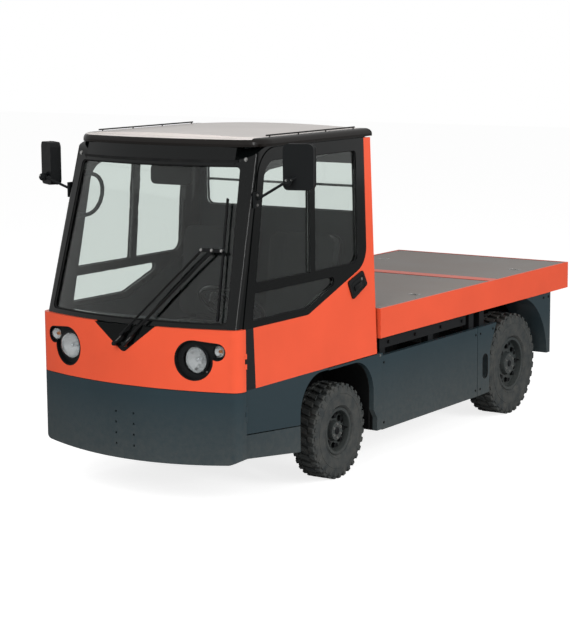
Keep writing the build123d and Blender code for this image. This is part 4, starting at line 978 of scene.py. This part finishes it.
class TUG_OT_cabin(Operator):
    """Fits out the cabin: inner mirror, grab handle, display, levers, pedals and mats"""
    bl_idname = "tug.cabin"
    bl_label = "Cabin"

    def execute(self, context):
        here = frame_of(at(0.013, -0.690, 1.700), (0, -1, 0.05))
        slab("inner_mirror_shell", centred(0.270, 0.108, 0.030), here, -0.012, 0.010, "plastic", "chassis", 0.006, 3, 40)
        slab("inner_mirror_glass", centred(0.250, 0.090, 0.022), here, -0.0128, -0.0118, "mirror", "chassis", degrees=40)
        stalk = [at(0.013, y, z) for y, z in ((-0.694, 1.745), (-0.700, 1.775), (-0.722, 1.806))]
        piping("inner_mirror_stalk", [stalk], "smooth_plastic", "chassis", 0.007)

        # the grab handle bows into the cabin and leans with the pillar
        grab_x, grab_y, grab_z, rake = -0.512, -0.790, 1.580, 0.28
        turns = [math.radians(d) for d in (-90, -80, -68, -54, -38, -20, 0, 20, 38, 54, 68, 80, 90)]
        arc = [at(grab_x + 0.105 * math.cos(a) ** 0.6, grab_y + rake * 0.11 * math.sin(a) + 0.035 * math.cos(a),
                  grab_z + 0.110 * math.sin(a)) for a in turns]
        piping("grab_handle", [arc], "inside", "chassis", 0.011, 12)
        feet = [frame_of(at(grab_x, grab_y + rake * (z - grab_z), z), (1, 0.3, 0)) for z in (1.470, 1.690)]
        turned("grab_feet", [(0.0, 0.008), (0.012, 0.007), (0.017, 0.0), (0.017, -0.014), (0.0, -0.014)], feet, "plastic",
               "chassis", 20)

        dash_out = (0, 0.66, 0.75)
        dash = frame_of(at(0.300, -0.772, 0.9305), dash_out)
        slab("display_housing", centred(0.220, 0.068, 0.012), dash, -0.004, 0.014, "plastic", "chassis", 0.004)
        slab("display_glass", oblong(-0.060, -0.022, 0.050, 0.022, 0.004), dash, 0.0135, 0.0150, "dark_glass", "chassis")
        keys = [(dash @ Vector((0.066 + 0.016 * (k % 2), -0.014 + 0.014 * (k // 2), 0.014)), outward(dash)) for k in range(6)]
        fasteners("display_keys", keys, "inside", "chassis", 0.010, 0.003, 12)
        switches = [(at(x, -0.770, 0.934), dash_out) for x in (0.08, 0.12, 0.16, -0.12, -0.16, -0.20, -0.24)]
        fasteners("rocker_switches", switches, "smooth_plastic", "chassis", 0.024, 0.008, 4)

        tilt = Vector((0, math.sin(math.radians(38)), math.cos(math.radians(38))))
        hub = at(0.300, -0.560, 1.015)
        levers = [[hub - tilt * down + Vector((side * x, y, 0)) for down, x, y in
                   ((0.062, 0.026, 0), (0.050, 0.10, 0.006), (0.038, 0.150, 0.012))] for side in (-1, 1)]
        piping("column_levers", levers, "smooth_plastic", "chassis", 0.006)
        turned("horn_button", [(0.0, 0.012), (0.022, 0.011), (0.030, 0.006), (0.033, 0.0), (0.0, 0.0)],
               [frame_of(hub, tilt)], "plastic", "steering_wheel", 40)
        turned("spinner_knob", [(0.016, -0.010), (0.016, 0.0), (0.012, 0.006), (0.0175, 0.014), (0.022, 0.030),
                                (0.019, 0.044), (0.008, 0.050), (0.0, 0.050), (0.0, -0.010)],
               [frame_of(hub + Vector((-0.135, 0.0, 0.0)) + tilt * 0.010, tilt)], "smooth_plastic", "steering_wheel", 28)

        pedals = {0.215: 0.030, 0.345: 0.024}       # place across the cab: half width
        bm = bmesh.new()
        for x, w in pedals.items():
            pedal = frame_of(at(x, -0.800, 0.470), (0, 0.80, 0.60))
            prism(bm, oblong(-w, -0.045, w, 0.045, 0.008), pedal, 0.0, 0.008)
            for rib in range(5):
                y = -0.034 + 0.016 * rib
                box_piece(bm, (-w + 0.006, y, 0.008), (w - 0.006, y + 0.005, 0.0105), pedal)
        piece("pedal_pads", bm, "seal", "chassis")
        arms = [[at(x, -0.806, 0.468), at(x, -0.850, 0.560), at(x, -0.915, 0.640)] for x in pedals]
        piping("pedal_arms", arms, "chassis", "chassis", 0.007, 8)
        bm = bmesh.new()
        for x in (-0.31, 0.31):
            box_piece(bm, (x - 0.235, -0.90 + AXLE_Y, 0.4002), (x + 0.235, -0.47 + AXLE_Y, 0.4050))
            for rib in range(20):
                y = -0.885 + AXLE_Y + 0.021 * rib
                box_piece(bm, (x - 0.220, y, 0.4050), (x + 0.220, y + 0.009, 0.4070))
        piece("floor_mats", bm, "seal", "chassis")
        turned("parking_brake_lever", [(0.0, 0.185), (0.010, 0.184), (0.014, 0.175), (0.0135, 0.080), (0.010, 0.070),
                                       (0.008, 0.0), (0.020, -0.004), (0.0, -0.004)],
               [frame_of(at(0.0, -0.240, 0.704), (0, -0.5, 0.87))], "smooth_plastic", "chassis", 24)
        return {"FINISHED"}


def evaluated_mesh(obj):
    return bpy.data.meshes.new_from_object(obj.evaluated_get(bpy.context.evaluated_depsgraph_get()))


def puffed(name, mesh, pins, cap, cell=0.008, frames=20):
    """Swells a closed mesh by air pressure, its pinned points held and no point moving past the cap."""
    scene = bpy.context.scene
    obj = bpy.data.objects.new(name, mesh)
    scene.collection.objects.link(obj)
    cells = obj.modifiers.new("cells", "REMESH")
    cells.mode, cells.voxel_size = "VOXEL", cell
    bpy.context.view_layer.update()
    even = evaluated_mesh(obj)
    obj.modifiers.remove(cells)
    obj.data = even
    held = obj.vertex_groups.new(name="seams")
    held.add([v.index for v in even.vertices if pins(v.co)], 1.0, "REPLACE")
    swell = obj.modifiers.new("swell", "CLOTH")
    setting = swell.settings
    setting.use_pressure, setting.uniform_pressure_force, setting.vertex_group_mass = True, 4.0, "seams"
    setting.effector_weights.gravity = 0.0
    setting.quality = 4
    swell.point_cache.frame_start, swell.point_cache.frame_end = 1, frames
    for frame in range(1, frames + 1):
        scene.frame_set(frame)
    blown = evaluated_mesh(obj)
    for before, after in zip(even.vertices, blown.vertices):
        move = after.co - before.co
        if move.length > cap:
            after.co = before.co + move * (cap / move.length)
    obj.modifiers.remove(swell)
    bpy.data.objects.remove(obj)
    scene.frame_set(1)
    return blown


class TUG_OT_seats(Operator):
    """Sews the two seats: cushions blown up between their seams, with shells and piping"""
    bl_idname = "tug.seats"
    bl_label = "Seats"

    def execute(self, context):
        stitch = 0.0045         # half the width of a pinned seam
        lean = Matrix.Rotation(math.radians(81.0), 4, "X")
        # width, length, thickness, where each lies between the seats, and how deep its shell reaches
        parts = {"cushion": (0.440, 0.440, 0.088, Matrix.Translation(at(0, -0.120, 0.7010)), -0.0005),
                 "back": (0.420, 0.500, 0.080, Matrix.Translation(at(0, 0.151, 1.068)) @ lean, -0.016)}
        for part, (w, l, t, middle, shell_low) in parts.items():
            bm = bmesh.new()
            prism(bm, centred(w, l, 0.055), Matrix.Identity(4), 0.0, t)
            mesh = bpy.data.meshes.new(f"{part}_form")
            bm.to_mesh(mesh)
            bm.free()

            def seam(point, w=w, l=l, t=t):
                on_line = abs(abs(point.x) - w * 0.24) < stitch and point.z > t * 0.5
                cross = abs(point.y) < stitch and abs(point.x) < w * 0.24 and point.z > t * 0.5
                corner = point.z > t - stitch and (abs(point.x) > w / 2 - stitch or abs(point.y) > l / 2 - stitch)
                return point.z < 0.018 or on_line or cross or corner

            blown = puffed(f"{part}_pad", mesh, seam, 0.016)
            for tag, side in SIDES.items():
                where = Matrix.Translation((side * 0.295, 0, 0)) @ middle
                shape = blown.copy()
                shape.transform(where)
                shape.materials.clear()
                pad = piece(f"seat_{part}_{tag}", shape, "cloth", "chassis", 60)
                soft = pad.modifiers.new("soft", "SUBSURF")
                soft.levels = soft.render_levels = 1
                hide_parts("seats")
                edge = [where @ Vector((p.x * 1.003, p.y * 1.003, t - 0.002)) for p in centred(w, l, 0.055)]
                piping(f"seat_{part}_piping_{tag}", [edge], "vinyl", "chassis", 0.0035, 8, ring=True)
                slab(f"seat_{part}_shell_{tag}", centred(w + 0.012, l + 0.008, 0.056), where, shell_low, 0.020, "plastic",
                     "chassis", 0.004)
        return {"FINISHED"}


class TUG_OT_deck(Operator):
    """Sets the lift rings, screws and joint strips of the load deck"""
    bl_idname = "tug.deck"
    bl_label = "Load deck"

    def execute(self, context):
        loop = centred(0.072, 0.052, 0.010)
        rows = [(loop, -0.0004), (loop, 0.0012), ([p * 0.84 for p in loop], 0.0016), ([p * 0.74 for p in loop], 0.0003)]
        bm, rings = bmesh.new(), []
        for x, y in ((0.525, 0.955), (0.518, 2.245), (-0.490, 2.290), (-0.490, 0.955)):
            here = Matrix.Translation(at(x, y, DECK_Z))
            stepped(bm, here, rows)
            rings.append([here @ Vector((p.x, p.y, 0.0012)) for p in centred(0.044, 0.026, 0.008)])
        piece("latch_dishes", bm, "steel", "chassis")
        piping("latch_rings", rings, "steel", "chassis", 0.0014, 8, ring=True)
        plates = ((0.384, 1.684), (1.788, 2.743))
        spots = []
        for y0, y1 in plates:
            count = max(3, round((y1 - y0) / 0.30))
            spots += [(side * 0.612, y0 + 0.04 + (y1 - y0 - 0.08) * k / (count - 1)) for side in (-1, 1) for k in range(count)]
            spots += [(x, y) for x in (-0.3, 0.0, 0.3) for y in (y0 + 0.03, y1 - 0.03)]
        screws = [(at(x, y, DECK_Z - 0.0006), (0, 0, 1)) for x, y in spots]
        fasteners("deck_screws", screws, "steel", "chassis", 0.013, 0.0022, 16)
        level = DECK_Z - 0.0007
        joints = [[at(x, y, level) for x in (0.0005 - HALF_DECK, HALF_DECK - 0.0005)] for y in (0.383, 1.685, 1.787, 2.744)]
        joints += [[at(side * HALF_DECK, y, level) for y in plate] for side in (-1, 1) for plate in plates]
        piping("deck_joints", joints, "seal", "chassis", 0.0016, 6)
        beads = [[at(side * 0.6490, y, 0.7330) for y in (0.372, 2.755)] for side in (-1, 1)]
        piping("deck_edge_bead", beads, "body", "chassis", 0.0010, 6)
        return {"FINISHED"}


class TUG_OT_trim(Operator):
    """Adds bolts, seams and seals to the apron, skirts, fenders and chassis"""
    bl_idname = "tug.trim"
    bl_label = "Body trim"

    def execute(self, context):
        seam = [at(x, front_y(x) + 0.0035, 0.6448) for x in (k * 0.036 for k in range(-16, 17))]
        piping("apron_seam", [seam], "seal", "chassis", 0.0028, 6)
        # each set of bolts: finish, distance from the middle, width, height, sides and (y, z) places
        sets = {
            "skirt_bolts": ("nut", 0.6352, 0.010, 0.0025, 16, [(y, z) for y in (0.43, 1.515) for z in (0.24, 0.585)]),
            "panel_bolt": ("steel", 0.6400, 0.012, 0.004, 6, [(0.379, 0.633)]),
            "fender_bolts": ("nut", 0.6360, 0.012, 0.004, 6, [(2.43, 0.700), (2.50, 0.700)]),
            "rail_bolts": ("nut", 0.6220, 0.016, 0.007, 6, [(y, 0.692) for y in (0.50, 0.80, 1.10, 1.36)]),
            "skirt_end_bolts": ("nut", 0.6352, 0.010, 0.0025, 16, [(1.575, 0.585), (1.735, 0.595), (1.575, 0.24)]),
        }
        for tag, side in SIDES.items():
            for name, (metal, x, width, height, sides, spots) in sets.items():
                bolts = [(at(side * x, y, z), (side, 0, 0)) for y, z in spots]
                fasteners(f"{name}_{tag}", bolts, metal, "chassis", width, height, sides)
            slot = rounded_loop([(1.608, 0.300), (1.608, 0.450), (1.668, 0.450), (1.668, 0.300)], 0.029)
            piping(f"grip_rim_{tag}", [[at(side * 0.6342, p.x, p.y) for p in slot]], "seal", "chassis", 0.0035, 8, ring=True)
            arch = rounded_loop([(-0.423, 0.120), (-0.423, 0.631), (0.312, 0.631), (0.312, 0.220)], (0, 0.210, 0.200, 0), 10)
            bead = [at(side * 0.6085, p.x, p.y) for p in arch if p.x > -0.15]
            piping(f"arch_bead_{tag}", [bead], "seal", "chassis", 0.0030, 6)
        return {"FINISHED"}


class TUG_OT_tail(Operator):
    """Ribs the tail lamps and bolts the tow jaw"""
    bl_idname = "tug.tail"
    bl_label = "Tail"

    def execute(self, context):
        for tag, side in SIDES.items():
            bm = bmesh.new()
            for k in range(12):
                x0, x1 = sorted(side * (0.446 + 0.0125 * k + step) for step in (0.0, 0.006))
                box_piece(bm, (x0, 2.5398 + AXLE_Y, 0.566), (x1, 2.5415 + AXLE_Y, 0.634))
            piece(f"tail_lamp_ribs_{tag}", bm, "red_lens", "chassis")
            rim = [at(side * p.x, 2.5165, p.y) for p in oblong(0.438, 0.558, 0.592, 0.642, 0.006)]
            piping(f"tail_lamp_rim_{tag}", [rim], "seal", "chassis", 0.003, 8, ring=True)
        spots = [(x, z) for x in (-0.125, 0.125) for z in (0.345, 0.400, 0.455)]
        spots += [(x, 0.680) for x in (-0.55, -0.30, 0.0, 0.30, 0.55)]
        fasteners("tail_plate_bolts", [(at(x, TAIL_Y, z), (0, 1, 0)) for x, z in spots], "nut", "chassis", 0.019, 0.009)
        return {"FINISHED"}


def white_share(tree, path, mirrored):
    """How white a ray sees the studio: all of it straight or through glass, half after it has
    bounced and passed glass, and the mirrored share in a reflection."""
    clear = add(tree, MATH, {0: path["Is Camera Ray"], 1: path["Is Transmission Ray"]}, operation="MAXIMUM")
    bounces = add(tree, MATH, {0: path["Diffuse Depth"], 1: path["Glossy Depth"]}, operation="ADD")
    straight = add(tree, MATH, {0: bounces, 1: 0.5}, operation="LESS_THAN")
    kept = add(tree, RANGE, {"Value": straight, "To Min": 0.5, "To Max": 1.0})
    seen = add(tree, MATH, {0: clear, 1: kept}, operation="MULTIPLY")
    shine = add(tree, MATH, {0: path["Is Glossy Ray"], 1: mirrored}, operation="MULTIPLY")
    return add(tree, MATH, {0: seen, 1: shine}, operation="MAXIMUM")


class TUG_OT_stage(Operator):
    """Builds the pale studio, its soft lights and the camera"""
    bl_idname = "tug.stage"
    bl_label = "Studio"

    def execute(self, context):
        scene = context.scene
        scene.view_settings.view_transform = "Standard"
        # studio paper: it takes the shadow, and looks white
        paper, tree, _ = material("studio_paper")
        path = add(tree, "ShaderNodeLightPath").outputs
        tone = add(tree, MIX, {SHARE: path["Is Glossy Ray"], FIRST: grey(0.5), SECOND: grey(0.1)}, data_type="RGBA")
        glow = add(tree, RANGE, {"Value": white_share(tree, path, 0.15), "To Min": 0.0, "To Max": 0.8})
        both = add(tree, "ShaderNodeAddShader", {0: add(tree, "ShaderNodeBsdfDiffuse", {"Color": tone}),
                                                 1: add(tree, "ShaderNodeEmission", {"Color": grey(1.0), "Strength": glow})})
        add(tree, "ShaderNodeOutputMaterial", {"Surface": both})
        bm = bmesh.new()
        corners = ((-1, -1), (1, -1), (1, 1), (-1, 1))
        bm.faces.new([bm.verts.new((x * 30.0, y * 30.0, -0.0005)) for x, y in corners])
        mesh = bpy.data.meshes.new("studio_floor")
        bm.to_mesh(mesh)
        bm.free()
        mesh.materials.append(paper)
        floor = bpy.data.objects.new("studio_floor", mesh)
        scene.collection.objects.link(floor)

        # the air lights the object softly, and looks white
        world = bpy.data.worlds.new("studio_air")
        scene.world = world
        world.use_nodes = True
        tree = world.node_tree
        tree.nodes.clear()
        path = add(tree, "ShaderNodeLightPath").outputs
        soft, white = (add(tree, "ShaderNodeBackground", {"Color": grey(1.0), "Strength": level}) for level in (0.36, 1.0))
        either = add(tree, "ShaderNodeMixShader", {0: white_share(tree, path, 0.16), 1: soft, 2: white})
        add(tree, "ShaderNodeOutputWorld", {"Surface": either})

        # lamps: place, width, height and watts; only the tall edge light shows in reflections
        lamps = {"key_light": ((1.5, -7.0, 4.0), 3.0, 3.0, 296), "side_light": ((6.5, 0.5, 3.0), 3.5, 3.5, 262),
                 "top_light": ((0.0, 0.5, 6.0), 5.0, 5.0, 60), "edge_light": ((7.0, -4.6, 4.2), 0.4, 5.0, 70)}
        for name, (where, width, height, watts) in lamps.items():
            lamp = bpy.data.lights.new(name, "AREA")
            lamp.energy = watts
            lamp.shape, lamp.size, lamp.size_y = "RECTANGLE", width, height
            obj = bpy.data.objects.new(name, lamp)
            obj.location = where
            obj.visible_glossy = obj.visible_transmission = name == "edge_light"
            obj.rotation_euler = (Vector((0, 0, 0.8)) - Vector(where)).to_track_quat("-Z", "Y").to_euler()
            scene.collection.objects.link(obj)

        camera = bpy.data.cameras.new("studio_camera")
        camera.sensor_width = 36.0
        camera.lens = 109.7
        eye = bpy.data.objects.new("studio_camera", camera)
        eye.location = at(6.056, -8.551, 2.505)
        turns = ((34.15, "Z"), (90 - 8.78, "X"), (-0.4, "Z"))       # round, down and roll, degrees
        first, second, third = (Matrix.Rotation(math.radians(angle), 3, axis) for angle, axis in turns)
        eye.rotation_euler = (first @ second @ third).to_euler()
        scene.collection.objects.link(eye)
        scene.camera = eye
        return {"FINISHED"}


class TUG_PT_panel(Panel):
    """Lists the steps that finish the tug"""
    bl_label = "Baggage tug"
    bl_idname = "TUG_PT_panel"
    bl_space_type = "VIEW_3D"
    bl_region_type = "UI"
    bl_category = "Tug"

    def draw(self, context):
        for step in STEPS:
            self.layout.operator(step.bl_idname)


STEPS = (TUG_OT_finishes, TUG_OT_tyres, TUG_OT_wheels, TUG_OT_lamps, TUG_OT_gaskets, TUG_OT_header, TUG_OT_mirrors,
         TUG_OT_handles, TUG_OT_wiper, TUG_OT_cabin, TUG_OT_seats, TUG_OT_deck, TUG_OT_trim, TUG_OT_tail, TUG_OT_stage)
CLASSES = (TugColours, TugSizes, *STEPS, TUG_PT_panel)


def register():
    for kind in CLASSES:
        bpy.utils.register_class(kind)
    bpy.types.Scene.tug_colours = PointerProperty(type=TugColours)
    bpy.types.Scene.tug_sizes = PointerProperty(type=TugSizes)


def unregister():
    del bpy.types.Scene.tug_colours
    del bpy.types.Scene.tug_sizes
    for kind in reversed(CLASSES):
        bpy.utils.unregister_class(kind)


def main():
    register()
    for step in STEPS:
        group, action = step.bl_idname.split(".")
        getattr(getattr(bpy.ops, group), action)()


if __name__ == "__main__":
    main()
